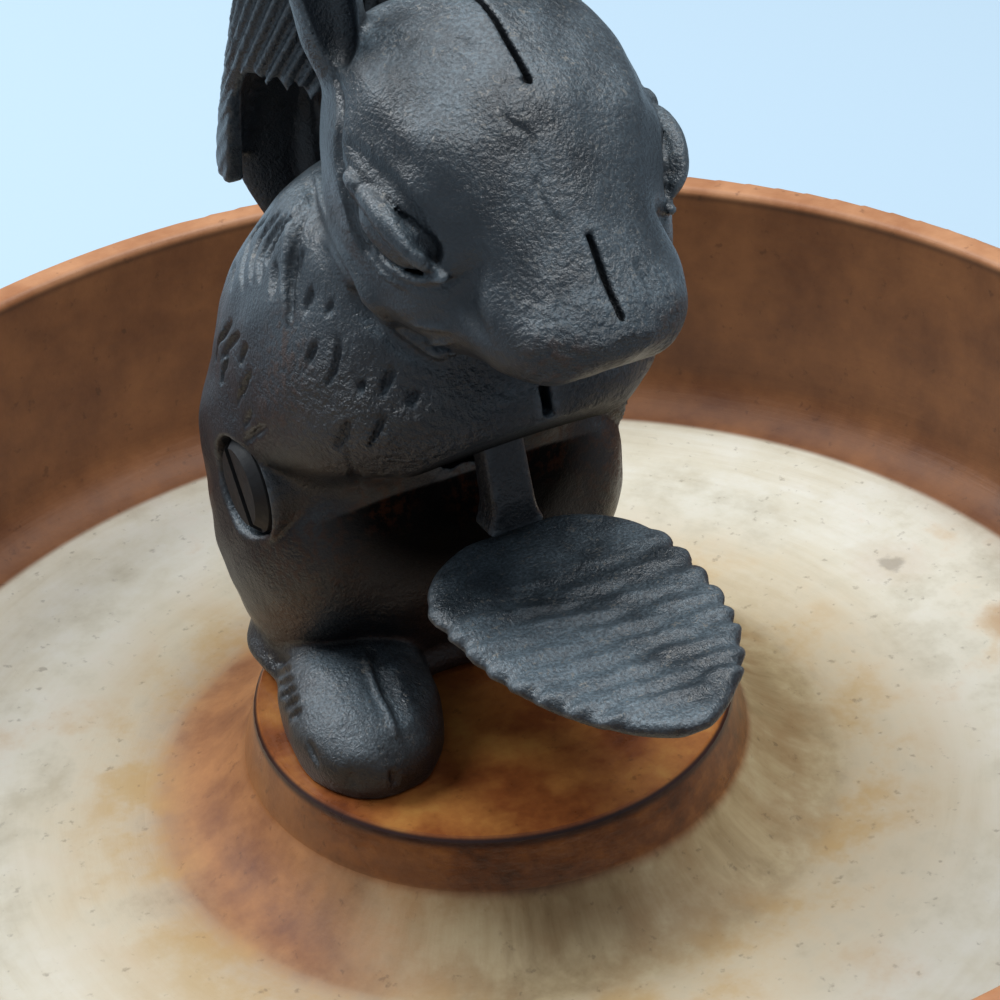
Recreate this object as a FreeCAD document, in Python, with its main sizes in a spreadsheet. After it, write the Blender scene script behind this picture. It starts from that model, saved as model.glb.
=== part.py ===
import FreeCAD, Part
import math
import os
import Sketcher
from FreeCAD import Placement, Rotation, Vector

# Squirrel nutcracker: a hollow cast squirrel in two halves sits on the pedestal of a
# turned wooden bowl. Its tail is the handle of a lever that lifts a ridged leaf tray
# towards the squirrel's bib. Millimetres, +Z up, the squirrel faces -Y, and the
# origin is the middle of the bowl's underside.

os.makedirs("parts", exist_ok=True)
doc = FreeCAD.newDocument("squirrel_nutcracker")

# Driving sizes. "ahead" is the distance towards the squirrel's front, from the
# bowl's axis, and "height" counts from the top of the pedestal.
SIZES = {
    # bowl
    "bowl_radius": 130.0,
    "bowl_height": 57.6,
    "rim_width": 6.1,
    "rim_edge": 1.5,
    "wall_draft": 2.4,
    "wall_cove": 9.0,
    "floor_thickness": 9.2,
    "foot_radius": 104.0,
    "foot_step": 2.0,
    "heel_height": 26.0,
    "heel_radius": 27.0,
    # pedestal
    "pedestal_radius": 39.8,
    "pedestal_height": 17.8,
    "pedestal_edge": 0.8,
    "band_spread": 2.4,
    "band_depth": 8.6,
    "pedestal_spread": 60.3,
    "pedestal_cove": 23.5,
    # castings
    "shell_wall": 3.8,
    "sole_thickness": 6.0,
    "part_clearance": 0.15,
    "running_clearance": 0.05,
    # mouth between the bib and the leaf
    "lip_ahead": 26.5,
    "lip_height": 64.5,
    "mouth_ahead": 4.5,
    "mouth_height": 46.0,
    "jaw_thickness": 4.0,
    "slot_side_clearance": 1.6,
    "slot_clearance": 3.4,
    # opening in the back for the tail's stem
    "tail_gap_clearance": 1.1,
    "tail_gap_bottom": 34.0,
    "tail_gap_top": 76.0,
    # pivot
    "pivot_behind": 17.0,
    "pivot_height": 41.0,
    "pivot_radius": 4.0,
    "pivot_boss_radius": 9.5,
    "pivot_head_radius": 8.0,
    "pivot_head_height": 3.2,
    "pivot_slot_width": 2.2,
    "pivot_slot_depth": 1.6,
    "nut_flats": 13.0,
    "nut_height": 5.0,
    "head_sink": 0.3,
    "recess_clearance": 0.4,
    # lever
    "arm_half_width": 3.4,
    "arm_waist": 7.4,
    "hub_radius": 9.0,
    "hub_half_length": 6.5,
    "hub_side_clearance": 0.3,
    "stem_ahead": 13.6,
    "stem_depth": 5.6,
    "stem_elbow_height": 57.5,
    "stem_lean": 4.3,
    "stem_rear_lean": 2.0,
    "elbow_underside": 6.6,
    "arm_rise": 5.0,
    "arm_under": 2.0,
    "arm_root_half_height": 6.0,
    "tail_arm_behind": 54.0,
    "tail_arm_height": 62.0,
    # leaf tray
    "leaf_back": 9.5,
    "leaf_middle": 25.0,
    "leaf_front": 67.0,
    "leaf_half_width": 20.0,
    "leaf_height": 36.5,
    "leaf_thickness": 2.8,
    "leaf_ridge": 0.8,
    "leaf_scallop": 0.7,
    "leaf_pitch": 6.4,
    "leaf_pitch_ratio": 0.93,
    "flare_height": 6.5,
    "flare_spread": 3.2,
    # tail hood
    "hood_wall": 2.6,
    "hood_rim_ahead": -22.0,
    "hood_rim_height": 105.0,
    "hood_corner_ahead": -48.0,
    "hood_corner_height": 74.0,
    # pegs that line up the halves
    "peg_radius": 2.5,
    "peg_length": 4.0,
    "peg_boss_radius": 5.5,
    "head_peg_ahead": 14.0,
    "head_peg_height": 100.0,
    "rump_peg_behind": 38.0,
    "rump_peg_height": 15.0,
    # screws through the pedestal
    "mount_radius": 2.5,
    "mount_hole_clearance": 0.2,
    "mount_head_radius": 4.75,
    "mount_head_height": 3.4,
    "mount_slot_width": 1.4,
    "mount_slot_depth": 1.4,
    "mount_bite": 10.0,
    "mount_tip_room": 1.0,
    "washer_radius": 6.5,
    "washer_thickness": 1.2,
    "counterbore_radius": 7.5,
    "counterbore_depth": 8.0,
    "mount_boss_radius": 5.5,
    "front_screw_side": 24.0,
    "front_screw_ahead": 1.0,
    "rear_screw_side": 12.0,
    "rear_screw_ahead": -27.0,
}

# Level cross-sections of the torso, from the soles to the nape:
# height, front and back as ahead distances, half width.
TORSO = {
    "sole": (0.0, -7.0, -37.0, 28.0),
    "ankle": (7.0, -4.0, -44.0, 31.5),
    "rump": (18.0, 1.0, -51.5, 34.5),
    "hip": (32.0, 4.0, -54.0, 34.8),
    "waist": (45.0, 4.0, -53.0, 34.2),
    "rib": (55.0, 19.0, -51.0, 33.0),
    "bib": (65.0, 26.5, -48.0, 31.5),
    "breast": (73.0, 24.0, -41.0, 30.5),
    "throat": (81.0, 26.0, -33.5, 27.5),
    "nape": (88.0, 20.0, -24.0, 22.0),
}

# Upright cross-sections of the head, from the back to the nose:
# ahead distance, top and bottom heights, half width.
HEAD = {
    "back": (-13.0, 106.0, 88.0, 10.0),
    "poll": (-8.0, 117.0, 80.0, 19.0),
    "ear_line": (2.0, 124.0, 75.0, 24.0),
    "crown": (12.0, 125.0, 73.0, 24.4),
    "brow": (22.0, 120.5, 73.0, 22.8),
    "eye": (32.0, 111.5, 76.0, 18.6),
    "muzzle": (40.0, 102.0, 79.0, 15.2),
    "nose": (46.0, 95.0, 83.0, 11.4),
    "nose_tip": (50.0, 90.5, 86.0, 5.5),
}

# Level cross-sections of the tail's hood, from its stem to its dome:
# height, middle as an ahead distance, half width, half depth.
HOOD = {
    "root": (58.0, -51.5, 5.5, 4.5),
    "stem": (66.0, -56.0, 7.5, 5.0),
    "shoulder": (73.0, -55.5, 12.5, 7.5),
    "corner": (80.0, -48.5, 18.0, 13.5),
    "low": (90.0, -41.0, 19.0, 17.0),
    "arch": (100.0, -36.0, 19.0, 17.0),
    "high": (114.0, -31.8, 17.6, 15.0),
    "bend": (127.0, -31.8, 14.6, 11.8),
    "dome": (137.0, -33.0, 7.5, 6.0),
}

# Level cross-sections of one ear, thigh and foot: height, distance from the
# middle plane, ahead distance, half width, half depth.
EAR = {
    "base": (108.0, 15.5, 2.0, 7.5, 7.0),
    "bowl": (122.0, 18.5, 3.5, 7.4, 5.4),
    "edge": (133.0, 19.8, 2.0, 5.8, 3.8),
    "point": (141.0, 20.8, 0.5, 2.0, 1.6),
}
THIGH = {
    "low": (10.0, 22.0, -16.0, 8.0, 14.0),
    "calf": (20.0, 22.5, -13.0, 12.0, 19.0),
    "knee": (31.0, 23.0, -12.0, 12.8, 20.0),
    "top": (42.0, 22.0, -14.0, 11.0, 17.0),
    "end": (50.0, 20.0, -17.0, 5.0, 9.0),
}
FOOT = {
    "sole": (0.0, 23.5, -3.0, 12.0, 21.0),
    "tread": (6.0, 23.5, -3.0, 12.6, 21.8),
    "instep": (12.0, 23.5, -5.0, 11.2, 18.5),
    "ankle": (17.0, 23.0, -9.0, 7.5, 12.0),
}

SQUARE_POWER = 2.4
HEAD_POWER = 2.7
ROUND_POWER = 2.0
RING_POINTS = 16
GROOVES = 8


def station_sizes(group, stations, fields):
    """Names every number of a group of cross-sections as a driving size."""
    for station, numbers in stations.items():
        for field, number in zip(fields, numbers):
            SIZES[f"{group}_{station}_{field}"] = number


LEVEL_FIELDS = ("height", "front", "back", "half_width")
UPRIGHT_FIELDS = ("ahead", "top", "bottom", "half_width")
HOOD_FIELDS = ("height", "ahead", "half_width", "half_depth")
LIMB_FIELDS = ("height", "side", "ahead", "half_width", "half_depth")
station_sizes("torso", TORSO, LEVEL_FIELDS)
station_sizes("head", HEAD, UPRIGHT_FIELDS)
station_sizes("hood", HOOD, HOOD_FIELDS)
station_sizes("ear", EAR, LIMB_FIELDS)
station_sizes("thigh", THIGH, LIMB_FIELDS)
station_sizes("foot", FOOT, LIMB_FIELDS)

sheet = doc.addObject("Spreadsheet::Sheet", "sizes")
sheet_names = []


def add_size(name, number):
    """Writes one size into the next row of the sheet."""
    sheet_names.append(name)
    row = len(sheet_names)
    sheet.set(f"A{row}", name)
    sheet.set(f"B{row}", str(number))
    sheet.setAlias(f"B{row}", name)
    sheet.recompute()


for name, number in SIZES.items():
    add_size(name, number)


def size(name):
    """One driving size, read back from the sheet."""
    return float(sheet.get(name))


def total(terms):
    """The value of signed size names, such as 'bowl_radius - rim_width'."""
    value = 0.0
    sign = 1.0
    for word in terms.split():
        if word in "+-":
            sign = 1.0 if word == "+" else -1.0
        else:
            value += sign * size(word)
            sign = 1.0
    return value


def formula(terms):
    """The same signed names as an expression on the sheet."""
    words = [word if word in "+-" else f"<<sizes>>.{word}" for word in terms.split()]
    return " ".join(words)


def bind(item, **properties):
    """Binds properties of an object to the sheet."""
    for name, terms in properties.items():
        item.setExpression(name, formula(terms))


def place(item, x="", y="", z="", rotation=None):
    """Puts an object at signed sizes, and turns it where asked."""
    if rotation is not None:
        item.Placement = Placement(Vector(), rotation)
    for axis, terms in (("x", x), ("y", y), ("z", z)):
        if terms:
            item.setExpression(f".Placement.Base.{axis}", formula(terms))


ALONG_X = Rotation(Vector(0, 1, 0), 90)
ALONG_MINUS_X = Rotation(Vector(0, 1, 0), -90)
DECK = "floor_thickness + pedestal_height"


# Sketch helpers

def plane_of(body, role):
    """The origin plane of a body with the given role."""
    return next(item for item in body.Origin.OriginFeatures if item.Role == role)


def new_sketch(body, name, role):
    """An empty sketch on one of the body's own origin planes."""
    sketch = body.newObject("Sketcher::SketchObject", name)
    sketch.AttachmentSupport = (plane_of(body, role), "")
    sketch.MapMode = "FlatFace"
    return sketch


def fix_point(sketch, geometry, end, across, up):
    """Ties one end of a sketch line or arc to signed sizes, or to an axis."""
    if across:
        row = sketch.addConstraint(
            Sketcher.Constraint("DistanceX", -1, 1, geometry, end, total(across)))
        sketch.setExpression(f"Constraints[{row}]", formula(across))
    else:
        sketch.addConstraint(Sketcher.Constraint("PointOnObject", geometry, end, -2))
    if up:
        row = sketch.addConstraint(
            Sketcher.Constraint("DistanceY", -1, 1, geometry, end, total(up)))
        sketch.setExpression(f"Constraints[{row}]", formula(up))
    else:
        sketch.addConstraint(Sketcher.Constraint("PointOnObject", geometry, end, -1))


def arc_between(start, end, radius, bulge):
    """An arc of the given radius on the left (+1) or right (-1) of start to end."""
    chord = end - start
    middle = (start + end) * 0.5
    reach = math.sqrt(max(radius ** 2 - (chord.Length / 2) ** 2, 0.0))
    side = Vector(-chord.y, chord.x, 0).normalize()
    centre = middle - side * reach * bulge
    circle = Part.Circle(centre, Vector(0, 0, 1), radius)
    first = math.atan2(start.y - centre.y, start.x - centre.x)
    last = math.atan2(end.y - centre.y, end.x - centre.x)
    if bulge > 0:
        first, last = last, first
    if last < first:
        last += 2 * math.pi
    return Part.ArcOfCircle(circle, first, last)


def closed_outline(sketch, corners):
    """A closed sketch of lines and arcs. Each corner is (across, up, arc to the
    next corner), where the arc is None or (radius size, bulge)."""
    points = [Vector(total(across), total(up), 0) for across, up, arc in corners]
    ends = []
    for index, (across, up, arc) in enumerate(corners):
        start = points[index]
        end = points[(index + 1) % len(points)]
        if arc is None:
            geometry = sketch.addGeometry(Part.LineSegment(start, end), False)
            ends.append((geometry, 1, 2))
        else:
            radius, bulge = arc
            geometry = sketch.addGeometry(arc_between(start, end, size(radius), bulge), False)
            ends.append((geometry, 2, 1) if bulge > 0 else (geometry, 1, 2))
    for index, (geometry, first, last) in enumerate(ends):
        following = ends[(index + 1) % len(ends)]
        sketch.addConstraint(
            Sketcher.Constraint("Coincident", geometry, last, following[0], following[1]))
    for (across, up, arc), (geometry, first, last) in zip(corners, ends):
        fix_point(sketch, geometry, first, across, up)
        if arc is not None:
            row = sketch.addConstraint(Sketcher.Constraint("Radius", geometry, size(arc[0])))
            sketch.setExpression(f"Constraints[{row}]", formula(arc[0]))


def revolved_body(name, corners):
    """A body turned about Z from a profile of radius and height."""
    body = doc.addObject("PartDesign::Body", name)
    sketch = new_sketch(body, f"{name}_profile", "XZ_Plane")
    closed_outline(sketch, corners)
    turned = body.newObject("PartDesign::Revolution", f"{name}_turned")
    turned.Profile = sketch
    turned.ReferenceAxis = (sketch, ["V_Axis"])
    turned.Angle = 360.0
    doc.recompute()
    return body


# Loft helpers for the cast shapes

def super_point(angle, power):
    """A point of a unit oval that is squarer than a circle where power is over 2."""
    across = math.cos(angle)
    along = math.sin(angle)
    return (math.copysign(abs(across) ** (2 / power), across),
            math.copysign(abs(along) ** (2 / power), along))


def oval(centre, right, up, half_width, half_depth, power):
    """A closed smooth ring in the plane of two unit directions."""
    points = []
    for index in range(RING_POINTS):
        across, along = super_point(2 * math.pi * (index + 0.5) / RING_POINTS, power)
        points.append(centre + right * across * half_width + up * along * half_depth)
    curve = Part.BSplineCurve()
    curve.interpolate(Points=points, PeriodicFlag=True)
    return Part.Wire([curve.toShape()])


ACROSS = Vector(1, 0, 0)
AHEAD = Vector(0, -1, 0)
UPWARD = Vector(0, 0, 1)


def solid_loft(rings):
    """A closed smooth solid through a row of rings."""
    return Part.makeLoft(rings, True, False)


def level_ring(height, front, back, half_width, power=SQUARE_POWER):
    """A level ring about the middle plane, from its front and back."""
    middle = AHEAD * ((front + back) / 2) + UPWARD * height
    return oval(middle, ACROSS, AHEAD, half_width, (front - back) / 2, power)


def upright_ring(ahead, top, bottom, half_width, power=HEAD_POWER):
    """An upright ring across the head."""
    middle = AHEAD * ahead + UPWARD * ((top + bottom) / 2)
    return oval(middle, ACROSS, UPWARD, half_width, (top - bottom) / 2, power)


def limb_ring(height, side, ahead, half_width, half_depth):
    """A level ring beside the middle plane, on the squirrel's right."""
    middle = ACROSS * -side + AHEAD * ahead + UPWARD * height
    return oval(middle, ACROSS, AHEAD, half_width, half_depth, ROUND_POWER)


def group_rows(group, stations, fields):
    """The numbers of a group of cross-sections, read from the sheet."""
    return [[size(f"{group}_{station}_{field}") for field in fields] for station in stations]


def limb(group, stations):
    """A lofted ear, thigh or foot on the squirrel's right."""
    rows = group_rows(group, stations, LIMB_FIELDS)
    return solid_loft([limb_ring(*row) for row in rows])


def between(rows, height):
    """The torso section at any height, by straight interpolation."""
    for lower, upper in zip(rows, rows[1:]):
        if lower[0] <= height <= upper[0]:
            share = (height - lower[0]) / (upper[0] - lower[0])
            return [a + (b - a) * share for a, b in zip(lower, upper)]
    raise ValueError("height outside the torso")


TORSO_ROWS = group_rows("torso", TORSO, LEVEL_FIELDS)
HEAD_ROWS = group_rows("head", HEAD, UPRIGHT_FIELDS)
HOOD_ROWS = group_rows("hood", HOOD, HOOD_FIELDS)


def skin_at(height, ahead):
    """How far the torso's skin lies from the middle plane at a place on its side."""
    _, front, back, half_width = between(TORSO_ROWS, height)
    share = abs(ahead - (front + back) / 2) / ((front - back) / 2)
    return half_width * (1 - share ** SQUARE_POWER) ** (1 / SQUARE_POWER)


def side_prism(corners, half_width):
    """A prism across the body from (ahead, height) corners."""
    points = [Vector(-half_width, -ahead, height) for ahead, height in corners]
    face = Part.Face(Part.makePolygon(points + points[:1]))
    return face.extrude(Vector(2 * half_width, 0, 0))


def cross_rod(ahead, height, radius, start, end):
    """A round bar along X between two distances from the middle plane."""
    base = Vector(start, -ahead, height)
    return Part.makeCylinder(radius, end - start, base, ACROSS)


def post(side, ahead, radius, bottom, top):
    """A round upright bar."""
    return Part.makeCylinder(radius, top - bottom, Vector(side, -ahead, bottom), UPWARD)


# The hollow casting, before it is parted into halves

WALL = size("shell_wall")
PIVOT_AHEAD = -size("pivot_behind")
PIVOT_HEIGHT = size("pivot_height")
BEYOND = 2 * size("bowl_radius")


def torso_cavity():
    """The hollow of the torso, one wall inside its skin."""
    rows = [row for row in TORSO_ROWS if size("sole_thickness") + 1 < row[0]]
    rows = [between(TORSO_ROWS, size("sole_thickness"))] + rows[:-1]
    inner = [(height, front - WALL, back + WALL, half - WALL)
             for height, front, back, half in rows]
    return solid_loft([level_ring(*row) for row in inner])


def head_cavity():
    """The hollow of the head, one wall inside its skin."""
    rows = HEAD_ROWS[1:-2]
    inner = [(ahead, top - WALL, bottom + WALL, half - WALL)
             for ahead, top, bottom, half in rows]
    return solid_loft([upright_ring(*row) for row in inner])


MOUTH_SLOPE = ((size("lip_height") - size("mouth_height"))
               / (size("lip_ahead") - size("mouth_ahead")))
FAR_AHEAD = size("leaf_front")


def mouth_wedge(setback):
    """The wedge under the bib, its roof moved back by a distance."""
    near = size("mouth_ahead") - setback
    floor = size("mouth_height")
    roof = floor + MOUTH_SLOPE * (FAR_AHEAD - near)
    return side_prism([(near, floor), (FAR_AHEAD, floor), (FAR_AHEAD, roof)], BEYOND)


def lever_slot():
    """The slot through the jaw that the lever's stem swings in."""
    reach = math.hypot(size("stem_ahead") - PIVOT_AHEAD,
                       size("mouth_height") - PIVOT_HEIGHT) + size("slot_clearance")
    half = total("arm_half_width + slot_side_clearance")
    swing = cross_rod(PIVOT_AHEAD, PIVOT_HEIGHT, reach, -half, half)
    floor = size("mouth_height")
    above = side_prism([(PIVOT_AHEAD, floor), (FAR_AHEAD, floor),
                        (FAR_AHEAD, floor + reach), (PIVOT_AHEAD, floor + reach)], half)
    return swing.common(above)


def tail_gap():
    """The opening in the back that the tail's stem moves in."""
    low = size("tail_gap_bottom")
    high = size("tail_gap_top")
    inside = PIVOT_AHEAD - size("hub_radius")
    outside = -FAR_AHEAD
    return side_prism([(inside, low), (inside, high), (outside, high), (outside, low)],
                      total("hood_stem_half_width + tail_gap_clearance"))


def half_casting():
    """The squirrel's right half as a hollow shell, flat on the middle plane."""
    torso = solid_loft([level_ring(*row) for row in TORSO_ROWS])
    head = solid_loft([upright_ring(*row) for row in HEAD_ROWS])
    limbs = [limb("ear", EAR), limb("thigh", THIGH), limb("foot", FOOT)]
    side = Part.makeBox(BEYOND, 2 * BEYOND, BEYOND, Vector(-BEYOND, -BEYOND, 0))
    casting = torso.fuse([head]).common(side).fuse(limbs)
    jaw_setback = size("jaw_thickness") / math.sin(math.atan(MOUTH_SLOPE))
    hollow = torso_cavity().cut(mouth_wedge(jaw_setback))
    tools = [hollow, head_cavity(), mouth_wedge(0.0), lever_slot(), tail_gap()]
    for tool in tools:
        casting = casting.cut(tool)
    return casting.removeSplitter()


def cylinder(name, radius, height, x="", y="", z="", rotation=None):
    """A cylinder bound to the sheet."""
    item = doc.addObject("Part::Cylinder", name)
    bind(item, Radius=radius, Height=height)
    place(item, x, y, z, rotation)
    return item


def fused(name, pieces):
    """One solid from several objects."""
    item = doc.addObject("Part::MultiFuse", name)
    item.Shapes = pieces
    item.Refine = True
    return item


def cut(name, base, tools):
    """An object less one or more others."""
    for index, tool in enumerate(tools):
        item = doc.addObject("Part::Cut", name if tool is tools[-1] else f"{name}_cut{index}")
        item.Base = base
        item.Tool = tool
        base = item
    return base


def bosses():
    """The round bosses inside the right half, for the pivot, screws and pegs."""
    hub_face = -total("hub_half_length + hub_side_clearance")
    pivot = cross_rod(PIVOT_AHEAD, PIVOT_HEIGHT, size("pivot_boss_radius"),
                      -(size("pivot_skin") - WALL / 2), hub_face)
    head = cross_rod(size("head_peg_ahead"), size("head_peg_height"), size("peg_boss_radius"),
                     -(size("head_crown_half_width") - WALL / 2), 0.0)
    rump_ahead = -size("rump_peg_behind")
    rump_height = size("rump_peg_height")
    rump = cross_rod(rump_ahead, rump_height, size("peg_boss_radius"),
                     -(skin_at(rump_height, rump_ahead) - WALL), 0.0)
    rear = post(-size("rear_screw_side"), size("rear_screw_ahead"),
                size("mount_boss_radius"), 0.0, total("mount_bite + mount_tip_room + peg_radius"))
    return [pivot, head, rump, rear]


def thread_holes():
    """The blind holes in the right half that the mounting screws enter."""
    top = total("mount_bite + mount_tip_room")
    radius = total("mount_radius + running_clearance")
    return [post(-size(f"{end}_screw_side"), size(f"{end}_screw_ahead"), radius, 0.0, top)
            for end in ("front", "rear")]


def pegs(extra_radius, extra_length):
    """The pegs of the left half, or the sockets for them in the right half."""
    length = size("peg_length") + extra_length
    radius = size("peg_radius") + extra_radius
    return [cross_rod(size("head_peg_ahead"), size("head_peg_height"), radius, -length, 0.0),
            cross_rod(-size("rump_peg_behind"), size("rump_peg_height"), radius, -length, 0.0)]


def cut_all(shape, tools):
    """A shape less each tool."""
    for tool in tools:
        shape = shape.cut(tool)
    return shape


def pivot_bore(seat, recess_radius, sign):
    """The pivot hole through a half, with the round recess outside its seat."""
    bore = cross_rod(PIVOT_AHEAD, PIVOT_HEIGHT, total("pivot_radius + part_clearance"),
                     -BEYOND, BEYOND)
    start, end = sorted((sign * seat, sign * BEYOND))
    recess = cross_rod(PIVOT_AHEAD, PIVOT_HEIGHT, recess_radius, start, end)
    return [bore, recess]


def feature(name, shape, height=DECK):
    """A document object holding a shape worked out from the sheet."""
    item = doc.addObject("Part::Feature", name)
    item.Shape = shape
    place(item, z=height)
    return item


# How far the skin of the haunch stands from the middle plane at the pivot
add_size("pivot_skin", skin_at(PIVOT_HEIGHT, PIVOT_AHEAD))
HEAD_SEAT = "pivot_skin - head_sink - pivot_head_height"
NUT_SEAT = "pivot_skin - head_sink - nut_height"

casting = half_casting().fuse(bosses())
casting = cut_all(casting, thread_holes())
mirrored = casting.mirror(Vector(), ACROSS)
recess_radius = total("pivot_head_radius + recess_clearance")

right_tools = pivot_bore(total(HEAD_SEAT), recess_radius, -1)
right_tools += pegs(size("part_clearance"), size("head_sink"))
body_right = feature("body_right", cut_all(casting, right_tools))
left_tools = pivot_bore(total(NUT_SEAT), recess_radius, 1)
body_left = feature("body_left", cut_all(mirrored, left_tools).fuse(pegs(0.0, 0.0)))


# Bowl

RIM_INNER = "bowl_radius - rim_width"
FLOOR_EDGE = "bowl_radius - rim_width - wall_draft - wall_cove"
BAND_FOOT = "pedestal_radius + band_spread"
DECK_EDGE = "floor_thickness + pedestal_height - pedestal_edge"

BOWL_CORNERS = [
    ("", "", None),
    ("foot_radius", "", None),
    ("foot_radius", "foot_step", ("heel_radius", -1)),
    ("bowl_radius", "heel_height", None),
    ("bowl_radius", "bowl_height - rim_edge", ("rim_edge", -1)),
    ("bowl_radius - rim_edge", "bowl_height", None),
    (RIM_INNER + " + rim_edge", "bowl_height", ("rim_edge", -1)),
    (RIM_INNER, "bowl_height - rim_edge", None),
    (RIM_INNER + " - wall_draft", "floor_thickness + wall_cove", ("wall_cove", 1)),
    (FLOOR_EDGE, "floor_thickness", None),
    ("pedestal_spread", "floor_thickness", ("pedestal_cove", 1)),
    (BAND_FOOT, "floor_thickness + pedestal_height - band_depth", None),
    ("pedestal_radius", DECK_EDGE, None),
    ("pedestal_radius - pedestal_edge", DECK, None),
    ("", DECK, None),
]
SCREW_PLACES = [
    ("front_screw_side", "- front_screw_ahead"),
    ("- front_screw_side", "- front_screw_ahead"),
    ("rear_screw_side", "- rear_screw_ahead"),
    ("- rear_screw_side", "- rear_screw_ahead"),
]


def drill(body, name, radius, depth):
    """Round pockets in the underside of the bowl, one at each screw."""
    sketch = new_sketch(body, f"{name}_circles", "XY_Plane")
    for across, up in SCREW_PLACES:
        circle = Part.Circle(Vector(total(across), total(up), 0), UPWARD, total(radius))
        hole = sketch.addGeometry(circle, False)
        row = sketch.addConstraint(Sketcher.Constraint("Radius", hole, total(radius)))
        sketch.setExpression(f"Constraints[{row}]", formula(radius))
        fix_point(sketch, hole, 3, across, up)
    pocket = body.newObject("PartDesign::Pocket", name)
    pocket.Profile = sketch
    pocket.Reversed = True
    bind(pocket, Length=depth)
    doc.recompute()


bowl = revolved_body("bowl", BOWL_CORNERS)
drill(bowl, "screw_holes", "mount_radius + mount_hole_clearance", DECK)
drill(bowl, "counterbores", "counterbore_radius", "counterbore_depth")


# Lever: the tail's hood, the arm with its hub, the stem and the leaf tray

def hood_loft(inset, rows):
    """A solid through the hood's sections, drawn in by a distance."""
    rings = []
    for height, ahead, half_width, half_depth in rows:
        middle = AHEAD * ahead + UPWARD * height
        rings.append(oval(middle, ACROSS, AHEAD, half_width - inset, half_depth - inset,
                          ROUND_POWER))
    return solid_loft(rings)


def tail_hood():
    """The hollow tail, open at its lower front."""
    skin = hood_loft(0.0, HOOD_ROWS)
    first = list(HOOD).index("corner")
    hollow = hood_loft(size("hood_wall"), HOOD_ROWS[first:-1])
    rim = (size("hood_rim_ahead"), size("hood_rim_height"))
    corner = (size("hood_corner_ahead"), size("hood_corner_height"))
    opening = side_prism([rim, corner, (FAR_AHEAD, corner[1]), (FAR_AHEAD, rim[1])], BEYOND)
    return cut_all(skin, [hollow, opening])


def leaf_half_width(ahead):
    """Half the width of the leaf at a place along it."""
    middle = size("leaf_middle")
    if ahead < middle:
        share = (middle - ahead) / (middle - size("leaf_back"))
        shape = LEAF_BACK_POWERS
    else:
        share = (ahead - middle) / (size("leaf_front") - middle)
        shape = LEAF_FRONT_POWERS
    return size("leaf_half_width") * (1 - share ** shape[0]) ** (1 / shape[1])


def leaf_grooves():
    """The places of the grooves across the leaf, closer towards its tip."""
    place_ahead = size("leaf_middle") - size("leaf_pitch") / 2
    pitch = size("leaf_pitch")
    places = [place_ahead]
    for _ in range(GROOVES):
        place_ahead += pitch
        pitch *= size("leaf_pitch_ratio")
        places.append(place_ahead)
    return places


def bulged(start, end, outward):
    """An arc from start to end whose middle lies outward of the chord."""
    return Part.Arc(start, (start + end) * 0.5 + outward, end).toShape()


def leaf_outline():
    """The leaf seen from above: a scallop beside each ridge."""
    grooves = leaf_grooves()
    scallop = size("leaf_scallop")
    height = size("leaf_height") - size("leaf_thickness")
    edges = []
    for sign in (1, -1):
        points = [Vector(sign * leaf_half_width(ahead), -ahead, height) for ahead in grooves]
        for start, end in zip(points, points[1:]):
            edges.append(bulged(start, end, ACROSS * sign * scallop))
        back = Vector(0, -size("leaf_back"), height)
        quarter = (size("leaf_back") + grooves[0]) / 2
        shoulder = Vector(sign * leaf_half_width(quarter), -quarter, height)
        edges.append(Part.Arc(back, shoulder, points[0]).toShape())
        front = Vector(0, -size("leaf_front"), height)
        quarter = (size("leaf_front") + grooves[-1]) / 2
        shoulder = Vector(sign * leaf_half_width(quarter), -quarter, height)
        edges.append(Part.Arc(points[-1], shoulder, front).toShape())
    return Part.Wire(Part.__sortEdges__(edges))


def leaf_profile():
    """The leaf seen from its side: flat below, an arched ridge between grooves."""
    top = size("leaf_height")
    bottom = top - size("leaf_thickness")
    places = [size("leaf_back") - size("leaf_pitch")] + leaf_grooves()
    places.append(size("leaf_front") + size("leaf_pitch"))
    points = [Vector(-BEYOND, -ahead, top) for ahead in places]
    edges = [Part.LineSegment(points[0], points[1]).toShape()]
    for start, end in zip(points[1:-2], points[2:-1]):
        edges.append(bulged(start, end, UPWARD * size("leaf_ridge")))
    edges.append(Part.LineSegment(points[-2], points[-1]).toShape())
    low_end = Vector(points[-1].x, points[-1].y, bottom)
    low_start = Vector(points[0].x, points[0].y, bottom)
    edges.append(Part.LineSegment(points[-1], low_end).toShape())
    edges.append(Part.LineSegment(low_end, low_start).toShape())
    edges.append(Part.LineSegment(low_start, points[0]).toShape())
    return Part.Wire(edges)


def leaf_tray():
    """The ridged plate that lifts the nut."""
    tall = total("leaf_thickness + leaf_ridge")
    plan = Part.Face(leaf_outline()).extrude(UPWARD * tall)
    ridged = Part.Face(leaf_profile()).extrude(ACROSS * 2 * BEYOND)
    return plan.common(ridged)


def stem_flare():
    """The widening of the stem where it meets the leaf."""
    middle = AHEAD * (size("stem_ahead") - size("stem_depth") / 2)
    half_depth = size("stem_depth") / 2
    spread = size("flare_spread")
    rings = []
    for share in (0.0, 0.25, 0.55, 1.0):
        grow = spread * (1 - share) ** 2
        height = size("leaf_height") - size("leaf_thickness") / 2 + share * size("flare_height")
        rings.append(oval(middle + AHEAD * grow / 2 + UPWARD * height, ACROSS, AHEAD,
                          size("arm_half_width") + grow, half_depth + grow / 2, ROUND_POWER))
    return solid_loft(rings)


LEAF_BACK_POWERS = (2.2, 2.2)
LEAF_FRONT_POWERS = (2.6, 1.6)

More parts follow.
